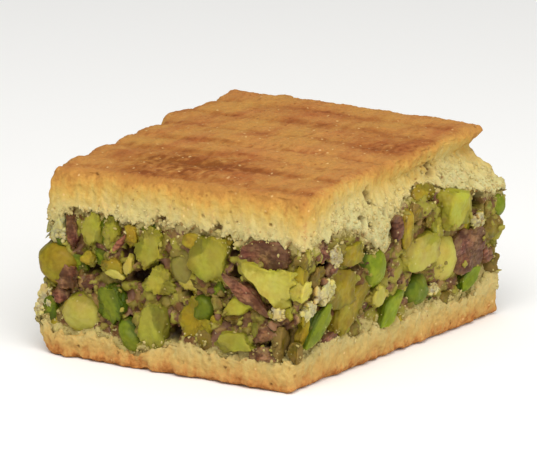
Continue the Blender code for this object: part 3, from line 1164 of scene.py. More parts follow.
def relief_tree() -> Shaper:
    """Write the tree that gives a surface its lumps, grains, chips and pores, by its "rough" numbers.

    Returns:
        The tree. It leaves "pore", "chip" and "bead" numbers for the finish.
    """
    kinds = {name: "NodeSocketFloat" for name in (*RELIEF_SIZES, "Pore Share")}
    shaper = Shaper("relief", {**kinds, "Material": "NodeSocketMaterial"})
    graph, given = shaper.graph, shaper.given
    rough = shaper.attribute("rough")
    lump = graph.noise(given("Lump Size"), 4.0) - 0.5
    bead, _ = graph.cells(given("Grain Size"))
    grain = 0.5 - bead
    rounding, chip = graph.cells(given("Chip Size"))
    chip_rise = chip - 0.5 - rounding * rounding * 0.6
    distance, lot = graph.cells(given("Pore Size"))
    chosen = 1.0 - lot.step(given("Pore Share") - 0.02, given("Pore Share") + 0.02)
    pore = (1.0 - distance.step(0.12, 0.42)) * chosen * rough.step(0.25, 0.6)
    rise = lump * 2.0 * given("Lump Depth") + grain * given("Grain Depth")
    rise = rise + chip_rise * 2.0 * given("Chip Depth")
    out = rise * rough - pore * given("Pore Depth")
    moved = shaper.moved_out(shaper.source.outputs["Geometry"], out)
    for name, value in (("pore", pore), ("chip", chip), ("bead", grain)):
        moved = shaper.stored(moved, name, value)
    shaper.close(moved)
    return shaper


@dataclass(frozen=True)
class Grains:
    """Loose grains on a surface: how many a square millimetre, their sizes in millimetres and their form."""

    density: float
    smallest: float
    largest: float
    flatness: float
    lean: float
    ruggedness: float
    seed: int
    fineness: int = 1

    def settings(self, material: Material) -> Settings:
        """Return the inputs of the scatter tree for these grains."""
        return {
            **{word.capitalize(): number for word, number in asdict(self).items()},
            "Density": self.density / MM**2,
            "Smallest": self.smallest * MM / 2.0,
            "Largest": self.largest * MM / 2.0,
            "Material": material,
        }


def scatter_tree() -> Shaper:
    """Write the tree that scatters rugged grains where a surface's "spread" numbers are above 0.

    Returns:
        The tree. It gives each grain a "tint" number for the finish.
    """
    names = ("Density", "Smallest", "Largest", "Flatness", "Lean", "Ruggedness")
    kinds = {name: "NodeSocketFloat" for name in names}
    kinds.update({"Seed": "NodeSocketInt", "Fineness": "NodeSocketInt", "Material": "NodeSocketMaterial"})
    shaper = Shaper("scatter", kinds)
    graph, given = shaper.graph, shaper.given
    seed = given("Seed")
    density = given("Density") * shaper.attribute("spread")
    spots = graph.node(
        "GeometryNodeDistributePointsOnFaces",
        {"distribute_method": "RANDOM"},
        {0: shaper.source.outputs["Geometry"], "Density": density, "Seed": seed},
    )
    lean = given("Lean")
    most = graph.node("ShaderNodeCombineXYZ", {}, {0: lean, 1: lean, 2: math.pi})
    least = graph.node("ShaderNodeCombineXYZ", {}, {0: 0.0 - lean, 1: 0.0 - lean, 2: -math.pi})
    spin = graph.node(
        "FunctionNodeRandomValue",
        {"data_type": "FLOAT_VECTOR"},
        {0: least.outputs[0], 1: most.outputs[0], "Seed": seed},
    )
    turn = graph.node("FunctionNodeEulerToRotation", {}, {0: spin.outputs[0]})
    turned = graph.node(
        "FunctionNodeRotateRotation",
        {"rotation_space": "LOCAL"},
        {0: spots.outputs["Rotation"], 1: turn.outputs[0]},
    )
    share = shaper.random(seed + 1.0)
    smallest, largest = given("Smallest"), given("Largest")
    size = smallest + (largest - smallest) * share * share
    thickness = size * given("Flatness")
    shape = graph.node("ShaderNodeCombineXYZ", {}, {0: size, 1: size * 0.8, 2: thickness})
    bead = graph.node(
        "GeometryNodeMeshIcoSphere", {}, {"Radius": 1.0, "Subdivisions": given("Fineness")}
    )
    placed = graph.node(
        "GeometryNodeInstanceOnPoints",
        {},
        {0: spots.outputs["Points"], "Instance": bead.outputs[0], 5: turned.outputs[0], 6: shape.outputs[0]},
    )
    tinted = shaper.stored(placed.outputs[0], "tint", shaper.random(seed + 2.0), "INSTANCE")
    sized = shaper.stored(tinted, "size", size, "INSTANCE")
    whole = graph.node("GeometryNodeRealizeInstances", {}, {0: sized})
    dent = graph.noise(shaper.attribute("size") * 1.0, 2.0) - 0.5
    out = dent * given("Ruggedness") * shaper.attribute("size")
    shaper.close(shaper.moved_out(whole.outputs[0], out))
    return shaper


def scattered(name: str, host: Body, shaper: Shaper, grains: Grains, finish: CrumbFinish) -> Body:
    """Return a new piece that holds only the grains scattered on another one."""
    return shaper.apply(linked(name, host.data.copy()), grains.settings(finish.make()))


# ---- the crusts


@dataclass(frozen=True)
class TopCrust(Layer):
    """The ridged golden crust over the filling."""

    cells: Cells = (200, 240, 34)
    crowding: float = 0.7
    lower_arris: float = 0.5
    upper_arris: float = 2.1
    corner_radius: float = 1.2
    ridged: bool = True
    rims: tuple[int, int] = (9, 0)
    groove_depth: float = 0.65
    groove_wobble: float = 1.1
    wear_waves: Pair = (8.0, 5.0)
    toast_start: float = 0.6
    # Where the groove darkening starts, how far it reaches and how wide its line is: painted groove shade,
    # partly real toasting.
    toast_reach: float = 5.0
    toast_line: float = 1.1
    line_share: float = 0.5
    slope_share: float = 0.7
    spot_stretch: float = 1.8
    swell_depth: float = 0.24
    swell_size: float = 5.5
    toasted: tuple[Swell, ...] = (
        Swell(-8.5, -24.6, 0.5, 2.4),
        Swell(-6.5, -18.5, 1.3, 4.2),
        Swell(-16.0, -23.0, -0.5, 4.5),
        Swell(0.5, -15.0, 0.5, 3.0),
        Swell(18.0, 6.5, 0.7, 3.0),
        Swell(14.0, -9.0, -0.4, 5.0),
        Swell(2.0, -2.0, -0.5, 4.0),
    )
    browning: tuple[Swell, ...] = (
        Swell(21.5, -27.0, 1.0, 3.5),
        Swell(-24.0, -27.0, 0.8, 6.0),
        Swell(4.0, -28.0, 0.5, 8.0),
        Swell(25.5, 17.0, -2.5, 4.0),
        Swell(21.0, -16.0, -1.9, 5.0),
        Swell(21.0, 25.0, 1.4, 4.0),
    )
    pits: tuple[Dent, ...] = (
        Dent(R, 15.1, 23.4, 0.7, 0.9, 2.0),
        Dent(R, 18.0, 26.5, 0.7, 1.0, 1.7),
        Dent(R, 18.9, 25.2, 0.5, 0.5, 1.3),
        Dent(R, 21.6, 23.4, 0.4, 0.4, 1.0),
        Dent(R, 24.2, 20.4, 1.5, 2.1, 1.4),
        Dent(R, 37.8, 26.8, 0.5, 1.0, 1.5),
        Dent(R, 39.6, 25.4, 0.5, 0.6, 0.8),
        Dent(R, 17.0, 22.2, 0.6, 0.7, 1.0),
        Dent(F, 20.9, 23.6, 0.8, 0.6, 1.0),
        Dent(F, 30.7, 22.9, 0.7, 0.9, 1.2),
        Dent(F, 5.6, 22.8, 0.8, 0.6, 0.9),
        Dent(Side.BACK, 37.1, 30.6, 1.0, 0.9, -1.3),
    )
    relief: Relief = Relief(1.5, 0.36, 0.6, 0.17, 0.9, 0.4, 0.07)
    finish: CrustFinish = CrustFinish(
        name="baked_top",
        face_light=srgb(178, 125, 66),
        face_brown=srgb(156, 99, 49),
        face_dark=srgb(126, 71, 31),
        side_stops=(
            (0.0, srgb(172, 122, 60)),
            (0.16, srgb(190, 144, 70)),
            (0.36, srgb(192, 160, 84)),
            (0.62, srgb(192, 173, 108)),
            (1.0, srgb(187, 180, 127)),
        ),
        side_depth=8.0,
    )

    def lower(self, place: Array) -> Array:
        """Return the height of the underside, with its ragged hem."""
        return BLOCK.lid_floor(place) + self.torn(place, 4.0)

    def wobbled(self, place: Array) -> Array:
        """Return the places, each shifted as far as the grooves wobble there."""
        wobble = self.groove_wobble * noise_at(grounded(place / self.wear_waves), 0.8, 3.0)
        return place + wobble[:, None] * (0.0, 1.0)

    def groove(self, place: Array) -> Array:
        """Return how deep each place lies in a worn groove: 0 on a ridge, up to 1 in a groove."""
        wear = np.clip(0.55 + 0.9 * noise_at(grounded(place / self.wear_waves), 1.0, 12.0), 0.1, 1.0)
        return wear * BLOCK.groove(self.wobbled(place))

    def upper(self, place: Array) -> Array:
        """Return the ridged top.

        Args:
            place: X and Y, one a row.

        Returns:
            Its height at each place.
        """
        plain_roof = BLOCK.lid_roof(place) + BLOCK.groove_depth * BLOCK.groove(place)
        swell = self.swell_depth * noise_at(grounded(place), self.swell_size, 21.0)
        return plain_roof - self.groove_depth * self.groove(place) + swell

    def toast(self, place: Array) -> Array:
        """Brown the top in its toasted patches, and darken it in and in front of its grooves, where the
        darkening is painted groove shade and partly real toasting.

        Args:
            place: X and Y, one a row.

        Returns:
            How dark each place is from toasting and painted groove shade: 0 is light and about 1 dark.
        """
        level, shares = grounded(place), grounded(place / self.wear_waves)
        y = self.wobbled(place)[:, 1]
        brown = np.zeros(len(place))
        # A dark line at each groove and a darker slope in front of it: painted groove shade, partly real
        # toasting.
        for number, middle in enumerate(BLOCK.grooves):
            front = middle + self.toast_start - y
            line = np.exp(-((front / self.toast_line) ** 2))
            slope = smooth(front, -0.8, 0.9) * np.clip(1.0 - front / self.toast_reach, 0.0, 1.0)
            patchy = 0.45 + 0.55 * smooth(noise_at(shares, 0.9, 12.0 + 7.0 * number), -0.3, 0.4)
            brown = np.maximum(brown, patchy * (self.line_share * line + self.slope_share * slope))
        brown = brown * (0.9 + 0.7 * noise_at(level / (1.0, 1.7, 1.0), 1.1, 44.0))
        mottle = 0.8 + 0.7 * noise_at(level, 2.2, 8.0) + 1.2 * noise_at(level / (1.0, 1.5, 1.0), 0.8, 18.0)
        for spot in self.toasted:
            brown = brown + mottle * spot.at(place, self.spot_stretch)
        return brown

    def build(self, relief: Shaper) -> Body:
        """Build the crust.

        Args:
            relief: The tree that roughens a surface.

        Returns:
            The piece.
        """
        points, faces, flat = self.shape()
        points, pit = dented(points, self.pits, 1.0, 0.8)
        depth = self.upper(points[:, :2]) - points[:, 2]
        for spot in self.browning:
            depth = depth - spot.at(points)
        inward = BLOCK.inward(flat)
        crumbly = smooth(depth, 3.5, 6.5)
        batch = Batch("baked_top_crust")
        batch.add(
            points,
            faces,
            depth=depth,
            inward=inward,
            toast=self.toast(points[:, :2]),
            rough=smooth(inward, -2.0, 0.0) * (0.45 + 0.55 * np.maximum(crumbly, smooth(inward, 0.2, 1.6))),
        )
        made = relief.apply(batch.make(), self.relief.settings(self.finish.make()))
        # The pits take the pores' painted shade.
        put_values(made, "pore", np.maximum(values_of(made, "pore"), pit))
        return made


@dataclass(frozen=True)
class BottomCrust(Layer):
    """The pale crust under the filling, browned where it lay on the tray."""

    cells: Cells = (196, 236, 30)
    crowding: float = 0.7
    lower_arris: float = 0.9
    upper_arris: float = 0.5
    rims: tuple[int, int] = (9, 9)
    foot_depth: float = 0.5
    foot_lift: float = 0.7
    foot_size: float = 1.6
    relief: Relief = Relief(1.5, 0.38, 0.6, 0.17, 0.9, 0.35, 0.06)
    finish: CrustFinish = CrustFinish(
        name="baked_base",
        face_light=srgb(184, 130, 72),
        face_brown=srgb(168, 112, 58),
        face_dark=srgb(134, 80, 42),
        side_stops=(
            (0.0, srgb(156, 98, 46)),
            (0.17, srgb(178, 124, 66)),
            (0.38, srgb(182, 143, 80)),
            (0.64, srgb(185, 155, 90)),
            (1.0, srgb(183, 165, 106)),
        ),
        side_depth=5.0,
    )

    def lower(self, place: Array) -> Array:
        """Return the height of the flat underside."""
        return np.zeros(len(place))

    def upper(self, place: Array) -> Array:
        """Return the height of the upper side, with its ragged hem."""
        return BLOCK.base_roof(place) + self.torn(place, 9.0)

    def build(self, relief: Shaper) -> Body:
        """Build the crust.

        Args:
            relief: The tree that roughens a surface.

        Returns:
            The piece.
        """
        points, faces, flat = self.shape()
        inward = BLOCK.inward(flat)
        foot = (1.0 - smooth(inward, 0.0, 1.6)) * (1.0 - smooth(points[:, 2], 0.6, 2.4))
        level = grounded(points[:, :2])
        ground = level / np.linalg.norm(level, axis=1, keepdims=True).clip(1.0)
        points = points + ground * (foot * self.foot_depth * noise_at(level, self.foot_size, 2.0))[:, None]
        points[:, 2] += foot * self.foot_lift * np.clip(noise_at(level, self.foot_size, 15.0), 0.0, 1.0)
        batch = Batch("baked_bottom_crust")
        batch.add(
            points,
            faces,
            depth=points[:, 2],
            inward=inward * smooth(-points[:, 2], -2.0, -0.5),
            toast=0.0 * inward,
            rough=(0.8 - 0.6 * smooth(inward, 0.3, 2.0)) * smooth(points[:, 2], 0.0, 0.5),
        )
        return relief.apply(batch.make(), self.relief.settings(self.finish.make()))


# ---- the filling


class Tone(Enum):
    """The kinds of piece in the filling, by the name of each kind's mesh."""

    LEAF = "leaf_green_kernels"
    LIME = "lime_kernels"
    PALE = "pale_yellow_kernels"
    GOLD = "golden_kernels"
    OLIVE = "olive_kernels"
    SAGE = "sage_kernels"
    SKIN = "purple_kernel_skins"
    CRUMB = "fallen_crust_crumbs"

    @property
    def raggedness(self) -> float:
        """How rough the pieces are beside a cut kernel."""
        return {Tone.SKIN: 1.8, Tone.CRUMB: 2.4}.get(self, 1.0)


class Outline(Enum):
    """How a piece was broken or cut: the facets round its shown side, each as (degrees, reach)."""

    NUT = ((0.0, 1.1), (90.0, 1.1))
    OVAL = ((0.0, 1.02), (180.0, 1.0))
    SQUARE = ((4.0, 0.8), (93.0, 0.78), (177.0, 0.82), (275.0, 0.78))
    SHIELD = ((8.0, 0.82), (92.0, 0.72), (172.0, 0.82), (236.0, 0.68), (268.0, 0.84), (304.0, 0.7))
    WEDGE = ((86.0, 0.52), (212.0, 0.56), (332.0, 0.62))
    CORNER = ((88.0, 0.5), (354.0, 0.82), (225.0, 0.3))
    BLADE = ((58.0, 0.56), (122.0, 0.6), (238.0, 0.6), (302.0, 0.56))
    SHARD = ((20.0, 0.6), (75.0, 0.8), (150.0, 0.62), (230.0, 0.72), (290.0, 0.6))

    @property
    def raggedness(self) -> float:
        """How torn the rim of a piece is: little on a whole kernel, much on a broken one."""
        torn = {"NUT": 0.15, "OVAL": 0.4, "SQUARE": 0.4, "BLADE": 0.5, "SHIELD": 0.8}
        return torn.get(self.name, 1.2)


@dataclass(frozen=True)
class Kernel:
    """One piece at a cut side, placed as that side is seen from outside.

    Its tilt is clockwise in degrees. Proud is how far it stands out of the cut, bend how far its ends droop,
    shade how many tenths lighter it is, and overreach how far it may rise into the top crust.
    """

    side: Side
    along: float
    height: float
    width: float
    tall: float
    tilt: float
    tone: Tone
    outline: Outline
    proud: float = 0.35
    bend: float = 0.0
    shade: float = 0.0
    overreach: float = 0.2

    @property
    def half(self) -> Pair:
        """How far it reaches from its middle, along and up."""
        return self.width / 2.0, self.tall / 2.0


LEAF, LIME, PALE, GOLD, OLIVE, SAGE, SKIN, CRUMB = Tone
NUT, OVAL, SQUARE, SHIELD, WEDGE, CORNER, BLADE, SHARD = Outline

PLACED_KERNELS = (
    Kernel(F, 1.6, 14.3, 7.8, 7.2, 0.0, GOLD, NUT, 1.6, shade=-1.8),
    Kernel(F, 8.4, 20.3, 4.2, 6.4, 8.0, LIME, SHARD, 0.4, shade=-1.6),
    Kernel(F, 11.9, 21.0, 2.8, 5.4, -8.0, LIME, SHARD, 0.1, shade=-1.4),
    Kernel(F, 10.4, 20.4, 2.4, 5.0, 0.0, LEAF, BLADE, -0.3, shade=-1.0),
    Kernel(F, 12.6, 18.9, 1.3, 5.0, 42.0, SKIN, BLADE, 0.4, shade=1.6),
    Kernel(F, 12.2, 15.0, 5.6, 3.0, 20.0, GOLD, SHARD, shade=-2.2),
    Kernel(F, 12.6, 14.0, 4.2, 1.9, 8.0, PALE, SHARD, 0.5, shade=-0.8),
    Kernel(F, 14.7, 15.8, 1.9, 3.6, 12.0, PALE, SHARD, 0.6, shade=-0.8),
    Kernel(F, 18.2, 18.9, 5.6, 7.2, 0.0, LIME, SHARD, 0.5, shade=-1.2),
    Kernel(F, 20.7, 13.7, 6.2, 5.5, 0.0, LIME, SHARD, 0.1, shade=-0.2),
    Kernel(F, 23.7, 16.5, 5.6, 7.0, -10.0, SAGE, NUT, 0.3, shade=-1.9),
    Kernel(F, 28.5, 18.8, 7.0, 8.0, 4.0, LIME, SQUARE, 0.6, shade=-0.8),
    Kernel(F, 39.4, 16.2, 11.6, 9.0, 0.0, PALE, CORNER, 0.9, shade=-0.4),
    Kernel(F, 8.0, 6.9, 7.8, 6.8, 0.0, PALE, NUT, 0.8, shade=-2.0),
    Kernel(F, 13.2, 9.0, 5.4, 6.8, -8.0, LEAF, SHIELD, 0.5, shade=-1.4),
    Kernel(F, 17.2, 4.7, 4.0, 6.2, -30.0, LEAF, NUT, 0.2, shade=-0.8),
    Kernel(F, 21.4, 6.8, 5.6, 7.8, 0.0, LIME, SHIELD, 0.4, shade=-1.9),
    Kernel(F, 28.9, 10.8, 4.2, 4.2, 0.0, LEAF, NUT, 0.9, shade=-3.8),
    Kernel(F, 28.5, 9.2, 6.9, 7.4, 0.0, GOLD, SHARD, 0.1),
    Kernel(F, 35.3, 11.8, 6.6, 3.2, -20.0, LIME, BLADE, 0.2, 1.0),
    Kernel(F, 36.0, 6.5, 8.0, 3.9, -4.0, LIME, SHARD, 0.5, shade=-2.8),
    Kernel(F, 39.0, 20.4, 9.2, 5.2, -6.0, SKIN, OVAL, 0.2),
    Kernel(F, 35.9, 14.0, 10.6, 3.0, 32.0, SKIN, BLADE, 0.4),
    Kernel(F, 41.0, 8.4, 5.4, 3.0, -26.0, SKIN, SHARD, 0.2),
    Kernel(F, 41.2, 5.2, 6.0, 3.0, -8.0, SKIN, SHARD, -0.1, shade=1.6),
    # Darkened well below its own olive: painted shade of the hollow that it sits in.
    Kernel(F, 43.7, 8.2, 3.8, 6.6, 0.0, OLIVE, OVAL, -2.1, shade=-3.0),
    Kernel(F, 4.4, 12.2, 4.2, 5.4, 10.0, SKIN, SHARD, 0.9),
    Kernel(F, 8.2, 12.0, 3.2, 3.0, 0.0, SKIN, SHARD, -0.2),
    Kernel(F, 4.3, 19.6, 2.4, 6.8, -6.0, SKIN, SHARD, 0.2, shade=0.6),
    Kernel(F, 2.6, 6.9, 2.7, 4.6, 0.0, LEAF, OVAL, -0.3, shade=-1.0),
    Kernel(F, 15.2, 20.2, 3.0, 4.4, 0.0, GOLD, SHARD, 0.1),
    Kernel(F, 7.2, 15.8, 2.9, 2.3, 0.0, GOLD, SHARD, 0.1),
    Kernel(F, 26.3, 21.0, 3.6, 2.4, 0.0, GOLD, OVAL, 0.2),
    Kernel(F, 43.9, 18.0, 3.2, 3.6, 20.0, GOLD, SHARD, 0.2),
    Kernel(F, 42.2, 11.9, 2.8, 2.2, 0.0, CRUMB, SHARD, 0.7),
    Kernel(F, 1.2, 8.2, 2.4, 5.6, 0.0, CRUMB, OVAL, 0.0),
    Kernel(F, 1.6, 20.4, 3.2, 6.4, 6.0, CRUMB, OVAL, 0.7, shade=-1.5),
    Kernel(F, 3.8, 9.6, 3.4, 3.0, 0.0, SKIN, SHARD, 0.2, shade=-0.4),
    Kernel(R, 1.2, 20.6, 4.6, 4.4, 0.0, OLIVE, SHARD, 0.0),
    Kernel(R, 4.8, 20.8, 4.6, 4.2, 0.0, SKIN, SHARD, -0.2),
    Kernel(R, 12.6, 18.9, 5.8, 3.6, 0.0, GOLD, SQUARE, 0.2, shade=-0.6),
    Kernel(R, 20.0, 15.4, 6.4, 7.6, 0.0, LEAF, NUT, 0.7, shade=1.6),
    Kernel(R, 10.9, 13.7, 7.6, 6.4, 10.0, GOLD, SQUARE, 0.3, shade=-1.9),
    Kernel(R, 14.1, 10.3, 11.6, 5.4, -32.0, GOLD, OVAL, 0.6, 1.2, shade=-2.7),
    Kernel(R, 21.3, 10.6, 5.6, 4.4, 0.0, PALE, SHARD, 0.6, shade=-2.0),
    Kernel(R, 5.6, 9.5, 3.8, 10.4, 50.0, LEAF, BLADE, 0.9, shade=-1.0),
    Kernel(R, 25.0, 7.4, 4.0, 8.4, 44.0, LEAF, BLADE, 0.5, shade=1.2),
    Kernel(R, 33.0, 8.9, 6.8, 5.6, 0.0, LEAF, NUT, 0.8, shade=-2.0),
    Kernel(R, 31.8, 15.4, 10.4, 6.8, 0.0, PALE, SQUARE, 0.7, shade=-1.5),
    Kernel(R, 40.0, 12.4, 9.0, 9.4, -10.0, PALE, NUT, 0.8, shade=-0.4),
    Kernel(R, 40.4, 20.7, 7.8, 7.4, 0.0, LIME, SQUARE, 1.1, shade=-0.3),
    Kernel(R, 33.4, 24.0, 7.0, 3.4, 0.0, GOLD, OVAL, 0.1),
    Kernel(R, 29.5, 21.9, 4.4, 3.4, 0.0, OLIVE, SHARD, 0.0),
    Kernel(R, 27.2, 20.0, 2.8, 6.8, 0.0, GOLD, SQUARE, 0.2),
    # A skin darkened well below its own purple: painted shade of the pit that it sits in.
    Kernel(R, 24.2, 20.5, 2.4, 4.6, 0.0, SKIN, OVAL, 0.7, shade=-3.5, overreach=6.0),
    Kernel(R, 45.5, 12.9, 9.4, 8.6, 0.0, SKIN, SQUARE, 0.3),
    Kernel(R, 46.9, 7.9, 3.2, 7.6, 60.0, LEAF, BLADE, 0.5),
    Kernel(R, 53.4, 18.4, 4.4, 5.0, 0.0, LEAF, NUT, 0.4),
    Kernel(R, 52.0, 15.0, 5.2, 4.6, 0.0, OLIVE, OVAL, 0.4),
    Kernel(R, 51.6, 10.8, 3.4, 3.4, 0.0, SKIN, SHARD, 0.2),
    Kernel(R, 33.9, 20.2, 4.4, 3.8, 0.0, OLIVE, SHARD, -0.4),
    Kernel(R, 25.4, 13.6, 3.4, 6.0, 0.0, SKIN, SHARD, -0.5),
    Kernel(R, 35.6, 18.2, 3.8, 3.8, 0.0, LIME, OVAL, -0.1),
    Kernel(R, 0.6, 15.6, 4.6, 4.0, 0.0, PALE, SHARD, 0.5),
    Kernel(R, 4.4, 17.0, 3.8, 3.6, 0.0, OLIVE, SHARD, -0.2, shade=-0.5),
    Kernel(R, 5.6, 16.2, 1.5, 1.3, 0.0, SKIN, OVAL, 0.3, shade=1.5),
    Kernel(R, 10.7, 6.9, 7.0, 1.8, -8.0, SKIN, BLADE, 0.1),
    Kernel(R, 7.4, 17.6, 3.4, 2.6, 0.0, SKIN, SHARD, 0.0),
    Kernel(R, 2.8, 8.6, 3.0, 5.0, 0.0, GOLD, SHARD, 0.1),
    # Darkened well below its own olive: painted shade of the hollow that it sits in.
    Kernel(R, 0.4, 7.2, 3.2, 6.0, 0.0, OLIVE, OVAL, -2.1, shade=-3.0),
    Kernel(R, 6.2, 14.4, 5.4, 3.4, 20.0, CRUMB, SHARD, 0.5),
    Kernel(R, 2.6, 12.2, 3.4, 2.8, 0.0, CRUMB, SHARD, 0.6),
    Kernel(R, 8.2, 19.6, 3.2, 3.6, 0.0, CRUMB, SHARD, 0.1),
    Kernel(R, 37.0, 8.2, 3.0, 1.8, 0.0, CRUMB, SHARD, 0.1),
    Kernel(R, 47.2, 16.9, 3.4, 2.6, 20.0, CRUMB, SHARD, 0.1, shade=-0.6),
)

HOLLOWS = (
    Dent(F, 14.2, 18.0, 1.2, 1.6, 2.6),
    Dent(F, 18.4, 15.0, 1.5, 1.6, 3.0),
    Dent(F, 15.6, 13.6, 1.8, 0.8, 2.4),
    Dent(F, 33.0, 21.0, 0.8, 1.5, 2.6),
    Dent(F, 33.0, 15.9, 1.0, 1.5, 2.6),
    Dent(F, 33.5, 11.0, 1.3, 1.1, 3.0),
    Dent(F, 40.8, 12.4, 0.8, 1.4, 2.6),
    Dent(F, 24.9, 6.0, 1.2, 1.4, 2.6),
    Dent(F, 16.8, 6.7, 0.4, 0.8, 2.0),
    Dent(F, 8.3, 13.8, 1.6, 0.9, 2.0),
    Dent(F, 26.2, 12.8, 1.0, 0.6, 1.6),
    Dent(F, 43.2, 6.4, 2.2, 2.4, 2.4),
    Dent(R, 14.7, 16.3, 1.6, 1.3, 3.0),
    Dent(R, 17.0, 18.0, 0.8, 1.2, 2.4),
    Dent(R, 30.0, 20.8, 1.0, 0.8, 2.8),
    Dent(R, 34.6, 23.0, 1.6, 0.7, 2.4),
    Dent(R, 47.2, 20.2, 1.8, 1.6, 3.0),
    Dent(R, 1.2, 7.6, 2.4, 3.0, 2.2),
    Dent(R, 6.8, 18.2, 1.6, 0.9, 2.2),
    Dent(R, 22.6, 15.0, 0.7, 1.6, 2.0),
)


@dataclass(frozen=True)
class Paste(Layer):
    """The sticky mass behind and between the pistachio pieces."""

    cells: Cells = (184, 220, 76)
    crowding: float = 0.6
    lower_arris: float = 0.6
    upper_arris: float = 0.6
    recess: float = 1.2
    crag_depth: float = 0.8
    crag_size: float = 4.0
    corner_radius: float = 2.0
    rims: tuple[int, int] = (6, 6)
    overlap: float = 0.5
    collar_height: float = 0.6
    collar_start: float = 0.3
    collar_width: float = 0.35
    hem_width: float = 1.2
    hem_calm: float = 0.6
    hem_recess: float = 0.75
    relief: Relief = Relief(1.7, 0.75, 0.55, 0.2, chip_size=1.5, chip_depth=0.5)
    finish: PasteFinish = PasteFinish()

    def lower(self, place: Array) -> Array:
        """Return the height of its underside, a little inside the bottom crust."""
        return BLOCK.base_roof(place) - self.overlap

    def upper(self, place: Array) -> Array:
        """Return the height of its upper side, a little inside the top crust."""
        return BLOCK.lid_floor(place) + self.overlap

    def collared(self, points: Array, kernels: Sequence[Kernel]) -> Array:
        """Draw the paste up round its kernels and out towards the crusts.

        Args:
            points: The paste's points, one a row.
            kernels: The large pieces that it holds.

        Returns:
            The moved points.
        """
        moved = points.copy()
        for side in Side:
            run, behind, outward = BLOCK.seen_from(side, points)
            near = behind < 2.0 * self.recess
            rise = np.zeros(len(points))
            for kernel in kernels:
                if kernel.side != side:
                    continue
                turn = math.radians(kernel.tilt)
                right, up = run - kernel.along, points[:, 2] - kernel.height
                half_width = kernel.width / 2.0 + self.collar_start
                half_height = kernel.tall / 2.0 + self.collar_start
                across = (right * math.cos(turn) - up * math.sin(turn)) / half_width
                upward = (right * math.sin(turn) + up * math.cos(turn)) / half_height
                away = np.maximum(np.hypot(across, upward) - 1.0, 0.0)
                rise = np.maximum(rise, np.exp(-((away / self.collar_width) ** 2)))
            moved[:, :2] += outward * (near * rise * self.collar_height)[:, None]
        depths = np.array([BLOCK.behind(side, moved) for side in Side])
        hem = BLOCK.hem(points, self.hem_width) * smooth(np.sort(depths, axis=0)[1], 1.0, 3.0)
        for side, behind in zip(Side, depths):
            _, _, outward = BLOCK.side_frame(side, points[:, 2])
            drawn = hem * (behind < 2.0 * self.recess)
            moved[:, :2] += outward * (drawn * (behind - self.hem_recess))[:, None]
        return moved

    def build(self, relief: Shaper, kernels: Sequence[Kernel]) -> Body:
        """Return the finished paste.

        Args:
            relief: The tree that roughens a surface.
            kernels: The large pieces that the paste holds.

        Returns:
            The piece.
        """
        points, faces, flat = self.shape()
        points, hollow = dented(self.collared(points, kernels), HOLLOWS, 3.6, 0.2)
        batch = Batch("sticky_paste")
        inward = BLOCK.inward(flat)
        rough = (1.0 - smooth(inward, 1.0, 4.0)) * (1.0 - self.hem_calm * BLOCK.hem(points, self.hem_width))
        batch.add(points, faces, hollow=hollow, rough=rough)
        made = relief.apply(batch.make(), self.relief.settings(self.finish.make()))
        settled = points_of(made)
        put_values(made, "sunk", BLOCK.sunk(settled))
        put_values(made, "hem", BLOCK.hem(settled, self.hem_width))
        return made


@dataclass(frozen=True)
class KernelRule:
    """A rule that sets pieces in rows along a side, each a little off its place."""

    rows: tuple[float, ...]
    pitch: float
    end_room: float
    jitter: float
    width: Pair
    tall: Pair
    proud: Pair
    tones: tuple[Tone, ...]
    tilt: float = 60.0

    def kernels(self, side: Side, chance: random.Random) -> list[Kernel]:
        """Set out the pieces of one side.

        Args:
            side: The side.
            chance: The source of the random draws.

        Returns:
            Its pieces.
        """
        made = []
        for row in self.rows:
            room = BLOCK.side_length(side, row) - 2.0 * self.end_room
            count = round(room / self.pitch)
            for step in range(count + 1):
                made.append(
                    Kernel(
                        side=side,
                        along=self.end_room + room * step / count + chance.uniform(-1.0, 1.0) * self.jitter,
                        height=row + chance.uniform(-1.0, 1.0) * self.jitter,
                        width=chance.uniform(*self.width),
                        tall=chance.uniform(*self.tall),
                        tilt=chance.uniform(-self.tilt, self.tilt),
                        tone=chance.choice(self.tones),
                        outline=chance.choice(list(Outline)),
                        proud=chance.uniform(*self.proud),
                    )
                )
        return made


